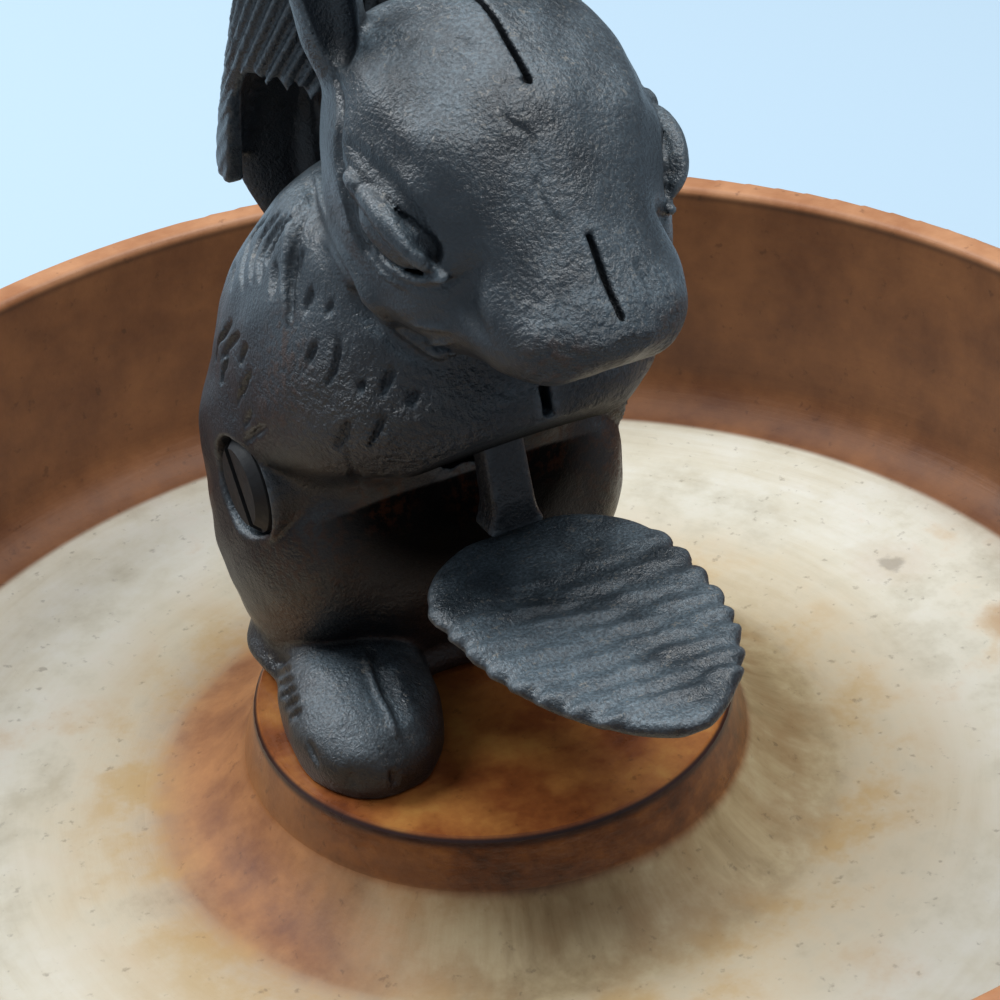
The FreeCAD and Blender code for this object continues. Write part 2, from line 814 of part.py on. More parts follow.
ARM_CORNERS = [
    ("- stem_ahead", "leaf_height - leaf_thickness", None),
    ("- stem_ahead", "leaf_height + flare_height", None),
    ("- stem_ahead + stem_lean", "stem_elbow_height", None),
    ("- stem_ahead + stem_lean + arm_rise", "stem_elbow_height + arm_rise", None),
    ("pivot_behind", "pivot_height + arm_waist", None),
    ("tail_arm_behind", "tail_arm_height + arm_root_half_height", None),
    ("tail_arm_behind", "tail_arm_height - arm_root_half_height", None),
    ("pivot_behind", "pivot_height - arm_waist", None),
    ("pivot_behind - arm_waist", "pivot_height + arm_under", None),
    ("- stem_ahead + stem_depth + stem_rear_lean", "stem_elbow_height - elbow_underside", None),
    ("- stem_ahead + stem_depth", "leaf_height - leaf_thickness", None),
]

arm = doc.addObject("PartDesign::Body", "lever_arm")
arm_sketch = new_sketch(arm, "arm_profile", "YZ_Plane")
closed_outline(arm_sketch, ARM_CORNERS)
arm_pad = arm.newObject("PartDesign::Pad", "arm_plate")
arm_pad.Profile = arm_sketch
arm_pad.SideType = "Symmetric"
bind(arm_pad, Length="arm_half_width + arm_half_width")
doc.recompute()

HUB_START = "- hub_half_length"
HUB_LENGTH = "hub_half_length + hub_half_length"
hub = cylinder("lever_hub", "hub_radius", HUB_LENGTH, HUB_START, "pivot_behind",
               "pivot_height", ALONG_X)
bore = cylinder("lever_bore", "pivot_radius + running_clearance",
                f"{HUB_LENGTH} + hub_side_clearance + hub_side_clearance",
                f"{HUB_START} - hub_side_clearance", "pivot_behind", "pivot_height", ALONG_X)
tail = feature("lever_tail", tail_hood(), "")
leaf = feature("lever_leaf", leaf_tray().fuse(stem_flare()), "")
drilled = cut("lever_drilled", fused("lever_blank", [arm, hub, leaf]), [bore])
tail_lever = fused("tail_lever", [drilled, tail])
place(tail_lever, z=DECK)


# Pivot screw and nut

SCREW_CORNERS = [
    ("", "- pivot_skin - pivot_skin + head_sink + head_sink + pivot_head_height", None),
    ("pivot_radius", "- pivot_skin - pivot_skin + head_sink + head_sink + pivot_head_height",
     None),
    ("pivot_radius", "", None),
    ("pivot_head_radius", "", None),
    ("pivot_head_radius", "pivot_head_height - pivot_slot_depth", None),
    ("pivot_head_radius - pivot_slot_depth", "pivot_head_height", None),
    ("", "pivot_head_height", None),
]


def slot_box(name, head_radius, width, depth, top, turn):
    """The cutter of a screw's slot, across the top of its head."""
    box = doc.addObject("Part::Box", name)
    bind(box, Length=f"{head_radius} + {head_radius}", Width=width, Height=depth)
    centre = Vector(size(head_radius), size(width) / 2, 0)
    spun = Rotation(UPWARD, turn)
    corner = Vector() - spun.multVec(centre)
    box.Placement = Placement(Vector(corner.x, corner.y, total(f"{top} - {depth}")), spun)
    return box


PIVOT_SLOT_TURN = 35.0
screw_blank = revolved_body("pivot_screw_blank", SCREW_CORNERS)
pivot_slot = slot_box("pivot_slot", "pivot_head_radius", "pivot_slot_width",
                      "pivot_slot_depth", "pivot_head_height", PIVOT_SLOT_TURN)
pivot_screw = cut("pivot_screw", screw_blank, [pivot_slot])
place(pivot_screw, "- pivot_skin + head_sink + pivot_head_height", "pivot_behind",
      DECK + " + pivot_height", ALONG_MINUS_X)

hexagon = doc.addObject("Part::Prism", "nut_hexagon")
hexagon.Polygon = 6
hexagon.setExpression("Circumradius", "<<sizes>>.nut_flats / sqrt(3)")
bind(hexagon, Height="nut_height")
nut_bore = cylinder("nut_bore", "pivot_radius + running_clearance", "nut_height")
pivot_nut = cut("pivot_nut", hexagon, [nut_bore])
place(pivot_nut, NUT_SEAT, "pivot_behind", DECK + " + pivot_height", ALONG_X)


# Screws and washers under the pedestal

def mount_screw(index, across, along):
    """One slotted screw, head down in its counterbore."""
    under = "counterbore_depth - washer_thickness"
    head = cylinder(f"mount_head{index}", "mount_head_radius", "mount_head_height",
                    across, along, f"{under} - mount_head_height")
    shank = cylinder(f"mount_shank{index}", "mount_radius",
                     f"{DECK} + mount_bite - counterbore_depth + washer_thickness",
                     across, along, under)
    slot = doc.addObject("Part::Box", f"mount_slot{index}")
    bind(slot, Length="mount_head_radius + mount_head_radius", Width="mount_slot_width",
         Height="mount_slot_depth")
    place(slot, f"{across} - mount_head_radius", along, f"{under} - mount_head_height")
    return cut(f"mount_screw{index}", fused(f"mount_blank{index}", [head, shank]), [slot])


def mount_washer(index, across, along):
    """One flat washer at the bottom of a counterbore."""
    under = "counterbore_depth - washer_thickness"
    disc = cylinder(f"washer_disc{index}", "washer_radius", "washer_thickness",
                    across, along, under)
    hole = cylinder(f"washer_hole{index}", "mount_radius + mount_hole_clearance",
                    "washer_thickness", across, along, under)
    return cut(f"mount_washer{index}", disc, [hole])


def group(name, pieces):
    """Separate solids that share one node."""
    item = doc.addObject("Part::Compound", name)
    item.Links = pieces
    return item


mount_screws = group("mount_screws", [
    mount_screw(index, across, along) for index, (across, along) in enumerate(SCREW_PLACES)])
mount_washers = group("mount_washers", [
    mount_washer(index, across, along) for index, (across, along) in enumerate(SCREW_PLACES)])

doc.recompute()
SUB_PARTS = [bowl, body_right, body_left, tail_lever, pivot_screw, pivot_nut,
             mount_screws, mount_washers]
for item in doc.Objects:
    if "Invalid" in item.State or "Error" in item.State:
        raise RuntimeError(f"{item.Name} failed: {item.State}")
for item in SUB_PARTS:
    item.Label = item.Name
    if item.Shape.isNull() or not item.Shape.isValid():
        raise RuntimeError(f"{item.Name} has no valid shape")
for item in SUB_PARTS:
    item.Shape.exportStep(f"parts/{item.Label}.step")
    print(item.Label, len(item.Shape.Solids), "solids",
          round(item.Shape.Volume / 1000, 2), "cubic centimetres")
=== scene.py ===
import math

import bmesh
import bpy
import numpy as np
from mathutils import Matrix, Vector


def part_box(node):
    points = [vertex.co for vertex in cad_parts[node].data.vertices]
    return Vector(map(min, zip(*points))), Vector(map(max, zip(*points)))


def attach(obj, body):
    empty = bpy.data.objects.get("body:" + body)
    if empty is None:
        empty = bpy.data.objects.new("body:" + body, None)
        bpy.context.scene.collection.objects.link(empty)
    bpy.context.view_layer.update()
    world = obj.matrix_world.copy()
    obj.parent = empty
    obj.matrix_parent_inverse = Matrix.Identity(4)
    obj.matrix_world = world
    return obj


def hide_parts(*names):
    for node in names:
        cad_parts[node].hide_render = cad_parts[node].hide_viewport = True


# The looks of a cast squirrel nutcracker on the pedestal of a turned wooden bowl.
# The squirrel's halves and its tail lever are sculpted as distances on a grid, in
# millimetres from the middle plane (side), towards the front (ahead) and above the
# pedestal (height), and skinned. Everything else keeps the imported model's shapes.

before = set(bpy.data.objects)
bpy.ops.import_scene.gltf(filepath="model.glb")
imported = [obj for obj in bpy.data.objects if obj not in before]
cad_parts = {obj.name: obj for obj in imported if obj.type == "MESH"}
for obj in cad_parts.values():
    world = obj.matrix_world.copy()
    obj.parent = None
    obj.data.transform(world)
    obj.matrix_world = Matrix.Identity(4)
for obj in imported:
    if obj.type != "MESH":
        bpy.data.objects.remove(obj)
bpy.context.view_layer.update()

MM = 0.001
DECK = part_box("body_right")[0][2]
SEED = 7


# Camera, at the photograph's place

VIEW_TURN = 25.0
CAMERA_PLACE = (-140.06, -300.35, 279.8)
CAMERA_YAW = -0.59
CAMERA_PITCH = 33.23
CAMERA_ROLL = 4.03
LENS = 90.0
SENSOR = 36.0
FRAME_PIXELS = 1000.0
FOCAL_PIXELS = FRAME_PIXELS * LENS / SENSOR


def spin(axis, degrees):
    """A turn about one axis of space, as a matrix."""
    angle = math.radians(degrees)
    first, second = (axis + 1) % 3, (axis + 2) % 3
    matrix = np.eye(3)
    matrix[first, first] = matrix[second, second] = math.cos(angle)
    matrix[first, second] = -math.sin(angle)
    matrix[second, first] = math.sin(angle)
    return matrix


def camera_axes():
    """The camera's right, up and backward directions as columns."""
    turns = spin(2, CAMERA_YAW - VIEW_TURN) @ spin(0, -CAMERA_PITCH) @ spin(1, CAMERA_ROLL)
    right, forward, up = turns.T
    return np.stack([right, up, -forward], axis=1)


def add_camera():
    """The photograph's camera."""
    lens = bpy.data.cameras.new("camera")
    lens.lens = LENS
    lens.sensor_width = SENSOR
    lens.clip_start = 0.01
    lens.clip_end = 20.0
    camera = bpy.data.objects.new("camera", lens)
    bpy.context.collection.objects.link(camera)
    matrix = Matrix(camera_axes().tolist()).to_4x4()
    matrix.translation = [MM * value for value in CAMERA_PLACE]
    camera.matrix_world = matrix
    bpy.context.scene.camera = camera


add_camera()


# Sculpting grid

FAR = 30.0
HALF_TURN = np.array([-1.0, -1.0, 1.0])

# How rays from the camera look for the clay: where they start, how often they step,
# how far at most, and what share of the gap that they read
RAY_START = 220.0
RAY_STEPS = 400
RAY_STRIDE = 2.0
RAY_CARE = 0.7


def soft_min(a, b, blend):
    """The nearer of two distances, with a fillet where they meet."""
    if blend <= 0:
        return np.minimum(a, b)
    near = np.maximum(blend - np.abs(a - b), 0.0) / blend
    return np.minimum(a, b) - near * near * blend / 4


def soft_max(a, b, blend):
    """The farther of two distances, with a rounded edge where they meet."""
    return -soft_min(-a, -b, blend)


def cut_along(axis, start, end):
    """The slices that shorten a grid along one axis."""
    cuts = [slice(None)] * 3
    cuts[axis] = slice(start, end)
    return tuple(cuts)


def cells_back(cells, axes, steps):
    """Cells moved back by steps along two axes, as an index of the grid."""
    cells = cells.copy()
    cells[:, axes] -= steps
    return tuple(cells.T)


class Clay:
    """A grid of distances to a surface, negative inside it."""

    def __init__(self, low, high, step):
        counts = [int(round((b - a) / step)) + 1 for a, b in zip(low, high)]
        self.low = np.array(low, float)
        self.high = self.low + step * (np.array(counts) - 1)
        self.step = step
        self.axes = [a + step * np.arange(n, dtype=np.float32) for a, n in zip(low, counts)]
        self.d = np.full(counts, FAR, np.float32)

    def window(self, low, high):
        """The part of the grid inside a box, with its coordinates."""
        cuts = []
        places = []
        for axis, a, b in zip(self.axes, low, high):
            start, end = np.searchsorted(axis, (a, b))
            cuts.append(slice(max(start - 1, 0), end + 1))
            places.append(axis[cuts[-1]])
        return tuple(cuts), *np.ix_(*places)

    def add(self, form, blend=0.0):
        """Joins a form on, with a fillet."""
        low, high, distance = form
        cuts, x, y, z = self.window(low, high)
        self.d[cuts] = soft_min(self.d[cuts], distance(x, y, z), blend)

    def carve(self, form, blend=0.0):
        """Takes a form away, with a rounded edge."""
        low, high, distance = form
        cuts, x, y, z = self.window(low, high)
        self.d[cuts] = soft_max(self.d[cuts], -distance(x, y, z), blend)

    def soften(self, times):
        """Rounds every edge a little."""
        for _ in range(times):
            for axis in range(3):
                before = np.roll(self.d, 1, axis)
                after = np.roll(self.d, -1, axis)
                core = cut_along(axis, 1, -1)
                self.d[core] = (before[core] + 2 * self.d[core] + after[core]) / 4

    def sample(self, points):
        """The distance at any points, read between the grid's."""
        place = (np.asarray(points, float) - self.low) / self.step
        top = np.array(self.d.shape) - 1.001
        place = np.clip(place, 0, top)
        corner = place.astype(int)
        share = place - corner
        value = np.zeros(len(place))
        for side in np.ndindex(2, 2, 2):
            weight = np.where(side, share, 1 - share).prod(axis=1)
            value += weight * self.d[tuple((corner + side).T)]
        return value

    def slope(self, points):
        """The outward direction at points."""
        points = np.asarray(points, float)
        slope = np.zeros_like(points)
        for axis in range(3):
            nudge = np.zeros(3)
            nudge[axis] = self.step
            slope[:, axis] = self.sample(points + nudge) - self.sample(points - nudge)
        length = np.linalg.norm(slope, axis=1, keepdims=True)
        return slope / np.maximum(length, 1e-6)

    def seen(self, pixels):
        """The first surface points that the photograph's pixels meet."""
        start, directions = pixel_rays(pixels)
        reach = np.full(len(directions), RAY_START)
        for _ in range(RAY_STEPS):
            points = start + directions * reach[:, None]
            inside = np.all((points > self.low) & (points < self.high), axis=1)
            gap = np.where(inside, self.sample(points), RAY_STRIDE)
            reach += np.clip(gap, 0.0, RAY_STRIDE) * RAY_CARE
        return start + directions * reach[:, None]

    def skin(self):
        """The surface as points and four-sided faces."""
        inside = self.d < 0
        cells = tuple(n - 1 for n in self.d.shape)
        total = np.zeros(cells + (3,), np.float32)
        count = np.zeros(cells, np.int16)
        crossings = []
        for axis in range(3):
            lower = cut_along(axis, 0, -1)
            upper = cut_along(axis, 1, None)
            found = np.argwhere(inside[lower] != inside[upper])
            sides = [other for other in range(3) if other != axis]
            fits = (found[:, sides] > 0) & (found[:, sides] < np.array(cells)[sides])
            found = found[fits.all(axis=1)]
            near = self.d[lower][tuple(found.T)]
            far = self.d[upper][tuple(found.T)]
            place = found.astype(np.float32)
            place[:, axis] += near / (near - far)
            for steps in ((0, 0), (0, 1), (1, 0), (1, 1)):
                cell = cells_back(found, sides, steps)
                total[cell] += place
                count[cell] += 1
            crossings.append((axis, sides, found, near < 0))
        used = count > 0
        number = np.full(cells, -1, np.int64)
        number[used] = np.arange(int(used.sum()))
        points = total[used] / count[used][:, None] * self.step + self.low
        faces = []
        for axis, sides, found, leaving in crossings:
            corners = [number[cells_back(found, sides, steps)] for steps in ((1, 1), (0, 1), (0, 0), (1, 0))]
            quads = np.stack(corners, axis=1)
            outward = leaving if axis != 1 else ~leaving
            quads[~outward] = quads[~outward][:, ::-1]
            faces.append(quads)
        return points, np.concatenate(faces)


def pixel_rays(pixels):
    """The camera's place and the directions of pixels, in the sculpting frame."""
    pixels = np.asarray(pixels, float)
    across, down = (pixels.T - FRAME_PIXELS / 2) / FOCAL_PIXELS
    local = np.stack([across, -down, -np.ones(len(pixels))], axis=1)
    directions = (local @ camera_axes().T) * HALF_TURN
    directions /= np.linalg.norm(directions, axis=1, keepdims=True)
    start = (np.array(CAMERA_PLACE) - [0, 0, DECK / MM]) * HALF_TURN
    return start, directions


# Forms for the sculpting grid. Each is the two corners of a box, and a function that
# says roughly how far a point in that box is outside the form, in millimetres.

def rows_at(rows, place):
    """Rows of section sizes, read smoothly at any places along them."""
    rows = np.array(rows, float)
    stations = rows[:, 0]
    tangents = np.gradient(rows[:, 1:], stations, axis=0)
    place = np.clip(place, stations[0], stations[-1])
    index = np.clip(np.searchsorted(stations, place) - 1, 0, len(stations) - 2)
    span = stations[index + 1] - stations[index]
    t = ((place - stations[index]) / span)[..., None]
    span = span[..., None]
    before = rows[index, 1:]
    after = rows[index + 1, 1:]
    return ((2 * t ** 3 - 3 * t ** 2 + 1) * before + (t ** 3 - 2 * t ** 2 + t) * span * tangents[index]
            + (3 * t ** 2 - 2 * t ** 3) * after + (t ** 3 - t ** 2) * span * tangents[index + 1])


def turned(about_side, about_ahead, about_height):
    """An egg's three axes after turns in degrees."""
    return (spin(2, about_height) @ spin(1, about_ahead) @ spin(0, about_side)).T


def facing(long_way, outward):
    """An egg's axes from its long direction and the direction it bulges in."""
    long_way = long_way / np.linalg.norm(long_way)
    outward = outward - long_way * (outward @ long_way)
    outward /= np.linalg.norm(outward)
    return np.stack([long_way, np.cross(outward, long_way), outward])


def egg(centre, radii, axes=None, margin=8.0, power=2.0):
    """An ellipsoid, or with a higher power a blunter form."""
    centre = np.array(centre, float)
    axes = np.eye(3) if axes is None else axes
    reach = max(radii) + margin

    def distance(x, y, z):
        along = [axis[0] * (x - centre[0]) + axis[1] * (y - centre[1]) + axis[2] * (z - centre[2])
                 for axis in axes]
        if power != 2.0:
            near = sum(np.abs(a / r) ** power for a, r in zip(along, radii)) ** (1 / power)
            return (near - 1) * min(radii)
        near = np.sqrt(sum((a / r) ** 2 for a, r in zip(along, radii)))
        steep = np.sqrt(sum((a / r ** 2) ** 2 for a, r in zip(along, radii)))
        return near * (near - 1) / np.maximum(steep, 1e-4)

    return centre - reach, centre + reach, distance


def strand(points, thickness, margin=3.0):
    """A rounded thread through points, its radius given at each end or point."""
    points = np.array(points, float)
    radii = np.interp(np.linspace(0, 1, len(points)), np.linspace(0, 1, len(thickness)), thickness)
    reach = max(radii) + margin

    def distance(x, y, z):
        nearest = np.inf
        for a, b, r_a, r_b in zip(points, points[1:], radii, radii[1:]):
            run = b - a
            square = max(float(run @ run), 1e-9)
            t = np.clip(((x - a[0]) * run[0] + (y - a[1]) * run[1] + (z - a[2]) * run[2]) / square, 0, 1)
            gap = np.sqrt((x - a[0] - run[0] * t) ** 2 + (y - a[1] - run[1] * t) ** 2
                          + (z - a[2] - run[2] * t) ** 2) - (r_a + (r_b - r_a) * t)
            nearest = np.minimum(nearest, gap)
        return nearest

    return points.min(axis=0) - reach, points.max(axis=0) + reach, distance


def smooth_line(points, count):
    """More points on a smooth curve through a few."""
    points = np.array(points, float)
    run = np.concatenate([[0], np.cumsum(np.linalg.norm(np.diff(points, axis=0), axis=1))])
    rows = np.column_stack([run, points])
    return rows_at(rows, np.linspace(0, run[-1], count))


EVERYWHERE = (np.full(3, -999.0), np.full(3, 999.0))
SLICE_POINTS = 3
SLICE_MARGIN = 9.0


def level_column(rows, power):
    """A column of level ovals: height, front, back, half width."""
    def distance(x, y, z):
        front, back, half = np.moveaxis(rows_at(rows, z), -1, 0)
        middle = (front + back) / 2
        depth = np.maximum((front - back) / 2, 0.5)
        half = np.maximum(half, 0.5)
        ring = (np.abs(x / half) ** power + np.abs((y - middle) / depth) ** power) ** (1 / power)
        gap = (ring - 1) * np.minimum(half, depth)
        return np.maximum(gap, np.maximum(rows[0][0] - z, z - rows[-1][0]))

    return EVERYWHERE + (distance,)


def polygon_gap(corners, u, v, closing=True):
    """The signed distance from points (u, v) to a closed outline, negative inside. The
    side that closes it may be left out of the distance."""
    nearest = np.inf
    inside = 0
    for number, ((au, av), (bu, bv)) in enumerate(zip(corners, corners[1:] + corners[:1])):
        eu, ev = bu - au, bv - av
        wu, wv = u - au, v - av
        upward = (av <= v) & (bv > v) & (eu * wv - ev * wu > 0)
        downward = (av > v) & (bv <= v) & (eu * wv - ev * wu < 0)
        inside = inside + upward.astype(np.int8) - downward.astype(np.int8)
        if closing or number < len(corners) - 1:
            t = np.clip((wu * eu + wv * ev) / np.maximum(eu * eu + ev * ev, 1e-6), 0, 1)
            nearest = np.minimum(nearest, (wu - eu * t) ** 2 + (wv - ev * t) ** 2)
    gap = np.sqrt(nearest)
    return np.where(inside != 0, -gap, gap)


def rounded_outline(outline):
    """Half a slice's outline with more points on a smooth curve through the few."""
    outline = np.array(outline, float)
    mirror = outline * [-1, 1]
    ring = np.concatenate([mirror[1:2], outline, mirror[-2:-1]])
    points = []
    for a, b, c, d in zip(ring, ring[1:], ring[2:], ring[3:]):
        for t in np.arange(SLICE_POINTS) / SLICE_POINTS:
            points.append(((2 * b) + (c - a) * t + (2 * a - 5 * b + 4 * c - d) * t ** 2
                           + (3 * b - a - 3 * c + d) * t ** 3) / 2)
    points.append(outline[-1])
    return np.array(points)


def flank_profile(stations):
    """A form of upright slices. Each station is its ahead distance and the points of
    half its outline, from the top's middle down the side to the bottom's middle."""
    outlines = [rounded_outline(outline) for _, outline in stations]
    flat = [[ahead] + outline.ravel().tolist() for (ahead, _), outline in zip(stations, outlines)]
    every = np.concatenate(outlines)
    half, top = every.max(axis=0)
    low = np.array([-half, flat[0][0], every[:, 1].min()]) - SLICE_MARGIN
    high = np.array([half, flat[-1][0], top]) + SLICE_MARGIN

    def distance(x, y, z):
        values = np.moveaxis(rows_at(flat, y), -1, 0)
        gap = polygon_gap(list(zip(values[::2], values[1::2])), np.abs(x) + 0.001, z, closing=False)
        return np.maximum(gap, np.maximum(flat[0][0] - y, y - flat[-1][0]))

    return low, high, distance


# The squirrel's body. Millimetres: height, front, back, half width.

TORSO = [
    (-0.6, -8.5, -35.0, 25.5),
    (0.0, -7.0, -37.0, 28.0),
    (7.0, -5.0, -44.0, 31.0),
    (18.0, -1.0, -51.5, 33.4),
    (32.0, 0.0, -54.0, 33.6),
    (45.0, 1.0, -53.0, 33.4),
    (55.0, 19.0, -51.0, 32.6),
    (65.0, 26.5, -48.0, 31.5),
    (73.0, 24.0, -41.5, 30.0),
    (81.0, 22.0, -34.5, 26.5),
    (90.0, 16.0, -24.0, 20.0),
    (94.0, 10.0, -16.0, 12.0),
]
TORSO_POWER = 2.3

# The head as upright slices: ahead, then half its outline from the top's middle
# over the brow, the cheek and the jaw to the bottom's middle, as side and height.
HEAD = [
    (-16.0, [(0, 100), (1, 100), (2, 99), (3, 97), (3, 94), (2, 92), (0, 92)]),
    (-12.0, [(0, 112), (8, 110.5), (11.5, 105), (12, 99), (11, 92), (7, 86), (0, 84)]),
    (-4.0, [(0, 120.5), (12, 118), (16.5, 111.5), (18, 103), (18, 93), (15.5, 84), (0, 77)]),
    (6.0, [(0, 124.6), (14.5, 121), (20, 113.5), (22.4, 104), (22.4, 94), (20, 83.5), (0, 74)]),
    (16.0, [(0, 123.4), (16, 117.8), (20.3, 112.3), (23.3, 104.5), (23.3, 94), (21, 84), (0, 73)]),
    (22.0, [(0, 120.2), (15.7, 115), (19, 110.5), (21.8, 104.5), (22, 94), (20, 84.5), (0, 73.5)]),
    (28.0, [(0, 116.2), (13.6, 112.2), (17.2, 108.5), (20, 103.5), (20, 95), (18.5, 84.5), (0, 74.5)]),
    (34.0, [(0, 109.3), (9.9, 105.7), (13.4, 102), (15.2, 97), (15.8, 91.5), (14.8, 84), (0, 76)]),
    (39.0, [(0, 103), (6.8, 100.6), (10, 98.3), (13.2, 94.5), (14.8, 89.5), (13, 83.5), (0, 78.5)]),
    (43.0, [(0, 98.2), (5.8, 96), (8.6, 94.6), (11.6, 92), (12.8, 88.5), (11, 84), (0, 81.5)]),
    (47.0, [(0, 92.7), (4.5, 92.2), (7, 91.4), (9.2, 90), (9.5, 87.5), (7.5, 85.3), (0, 84)]),
    (50.0, [(0, 89.6), (1.5, 89.5), (2.5, 89.2), (3.5, 88.6), (3.5, 87.6), (2.5, 87), (0, 86.9)]),
]

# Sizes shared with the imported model
WALL = 3.8
SOLE = 6.0
LIP_AHEAD = 26.5
LIP_HEIGHT = 64.5
MOUTH_AHEAD = 4.5
MOUTH_HEIGHT = 46.0
ROOF_RISE = (LIP_HEIGHT - MOUTH_HEIGHT) / (LIP_AHEAD - MOUTH_AHEAD)
JAW = 4.0
PIVOT_AHEAD = -17.0
PIVOT_HEIGHT = 41.0
SLOT_HALF = 5.0
SLOT_REACH = 34.4
GAP_HALF = 8.6
GAP_BOTTOM = 34.0
GAP_TOP = 76.0
HUB_FACE = 6.8
HUB_REACH = 9.0
BOSS_REACH = 9.5
SKIN_AT_PIVOT = 33.77
HEAD_SINK = 3.5
NUT_SINK = 5.3
RECESS = 8.4
BORE = 4.15
MOUTH_SIDE = 31.0
HOLLOW_TOP = 80.0

# The grid's step, how far apart points are read along a line of pixels, and how far
# off the clay such a point may be
GRID_STEP = 0.5
PIXEL_STEP = 5.0
MISS = 1.0

# Slow waves of the cast skin: how fast along each direction, where they start, how high
shuffle = np.random.default_rng(SEED)
WAVER = [tuple(shuffle.uniform(-0.75, 0.75, 3)) + (shuffle.uniform(0, 6.28), 0.05) for _ in range(9)]


def mouth_wedge(setback=0.0):
    """The wedge under the bib, its roof moved back by a distance."""
    def distance(x, y, z):
        roof = (z - MOUTH_HEIGHT - ROOF_RISE * (y - MOUTH_AHEAD + setback)) / math.hypot(1.0, ROOF_RISE)
        return np.maximum(roof, MOUTH_HEIGHT - z) + 0 * x

    return EVERYWHERE + (distance,)


def block(low, high):
    """A box given by its corners."""
    low = np.array(low, float)
    high = np.array(high, float)
    middle = (low + high) / 2
    half = (high - low) / 2

    def distance(x, y, z):
        gaps = [np.abs(place - m) - h for place, m, h in zip((x, y, z), middle, half)]
        return np.maximum(np.maximum(gaps[0], gaps[1]), gaps[2])

    return low - 3, high + 3, distance


def cross_bar(ahead, height, radius, start, end):
    """A round bar along the side direction."""
    low, high, _ = block((start, ahead - radius, height - radius), (end, ahead + radius, height + radius))

    def distance(x, y, z):
        round_gap = np.sqrt((y - ahead) ** 2 + (z - height) ** 2) - radius
        return np.maximum(round_gap, np.maximum(start - x, x - end))

    return low, high, distance


def both(first, second):
    """What two forms have in common."""
    return first[0], first[1], lambda x, y, z: np.maximum(first[2](x, y, z), second[2](x, y, z))


# Places read off the photograph, in its pixels, on the squirrel's right side

EYE_CORNERS = [(352, 188), (446, 274)]
EYE_MIDDLE = (388, 236)
UPPER_LID = [(344, 170), (371, 201), (397, 235), (420, 258), (444, 276)]
ABOVE_LID = [(352, 146), (384, 179), (415, 219), (436, 256)]
LOWER_LID = [(368, 246), (380, 264), (399, 277), (428, 283), (446, 277)]
SOCKET_LINE = [
    (336, 74), (341, 112), (338, 153), (346, 199), (364, 248), (390, 279), (420, 290), (446, 284),
    (468, 272),
]
CHEEK_RIM = [(317, 176), (321, 205), (330, 237), (352, 275), (379, 309), (410, 339), (443, 357)]
BELOW_RIM = [(310, 182), (316, 215), (326, 243), (346, 281), (373, 316), (404, 347), (440, 366)]
MUZZLE_CREASE = [(480, 262), (468, 276), (463, 293), (468, 312), (482, 333)]
NOSTRIL = [(563, 286), (567, 305), (573, 324)]
NOSE_SLIT = [(592, 234), (601, 262), (610, 288), (620, 319)]
CROWN_SEAM = [(470, -20), (481, 0), (500, 30), (519, 61), (533, 79)]
CHIN_SLIT = [(541, 388), (548, 414)]
WHISKERS = [
    [(411, 323), (430, 327), (452, 329)], [(416, 338), (434, 341), (455, 341)],
    [(425, 350), (440, 353), (458, 352)],
]
CRACK = [
    (533, 82), (514, 81), (501, 88), (498, 102), (506, 121), (525, 131), (533, 147), (535, 159),
    (540, 171), (538, 191), (548, 210), (560, 230),
]
NICK = [(455, 40), (469, 45), (476, 59)]
MANE_EDGE = [(314, 188), (302, 205), (293, 224), (287, 256), (285, 290), (287, 322)]
MANE_GROOVES = [
    [(309, 208), (299, 232), (292, 262), (290, 292), (290, 318)], [(303, 249), (298, 262), (294, 284)],
    [(311, 288), (308, 301), (303, 314)], [(333, 300), (330, 308), (326, 316)],
    [(317, 342), (312, 352), (306, 368)], [(338, 336), (337, 360), (332, 376), (325, 386)],
]
BACK_GROOVES = [
    [(262, 213), (243, 238), (234, 264), (231, 290)], [(272, 211), (252, 236), (243, 262), (241, 291)],
    [(281, 211), (261, 236), (252, 260), (251, 281)], [(287, 214), (269, 238), (260, 260), (259, 280)],
    [(294, 214), (279, 232), (270, 250), (266, 264)], [(275, 261), (273, 278), (272, 297)],
    [(250, 219), (236, 240), (228, 262), (225, 284)],
]
SHOULDER_TICKS = [
    [(231, 322), (221, 338), (215, 360)], [(240, 334), (229, 344), (221, 360)],
    [(228, 350), (224, 366), (221, 386)], [(247, 344), (243, 354), (239, 366)],
    [(251, 371), (245, 384), (237, 403)], [(253, 409), (249, 417), (244, 427)],
    [(267, 427), (256, 432), (245, 443)],
]
CHEST_TICKS = [
    [(393, 368), (388, 380), (381, 396)], [(363, 381), (361, 388), (358, 394)],
    [(417, 389), (413, 397), (409, 407)], [(385, 415), (377, 431), (367, 449)],
    [(350, 420), (343, 436), (337, 448)],
]
FLANK_FOLDS = [[(346, 446), (352, 470), (360, 490)], [(358, 468), (359, 480), (363, 496)]]
FOOT_RIDGE = [(363, 650), (368, 668), (378, 695), (388, 715), (397, 737)]
BESIDE_FOOT_RIDGE = [(373, 652), (378, 672), (389, 697), (400, 720)]
FOOT_TICKS = [
    [(274, 664), (288, 658)], [(276, 675), (290, 668)], [(278, 686), (292, 678)],
    [(281, 697), (294, 688)], [(285, 708), (297, 698)], [(289, 720), (300, 709)],
]
TOE_LINES = [
    [(308, 742), (312, 754), (319, 767)], [(349, 772), (350, 780), (353, 788)],
    [(391, 770), (394, 779), (396, 786)],
]


def run_length(line):
    """The length of a line of points."""
    return float(np.linalg.norm(np.diff(np.array(line, float), axis=0), axis=1).sum())


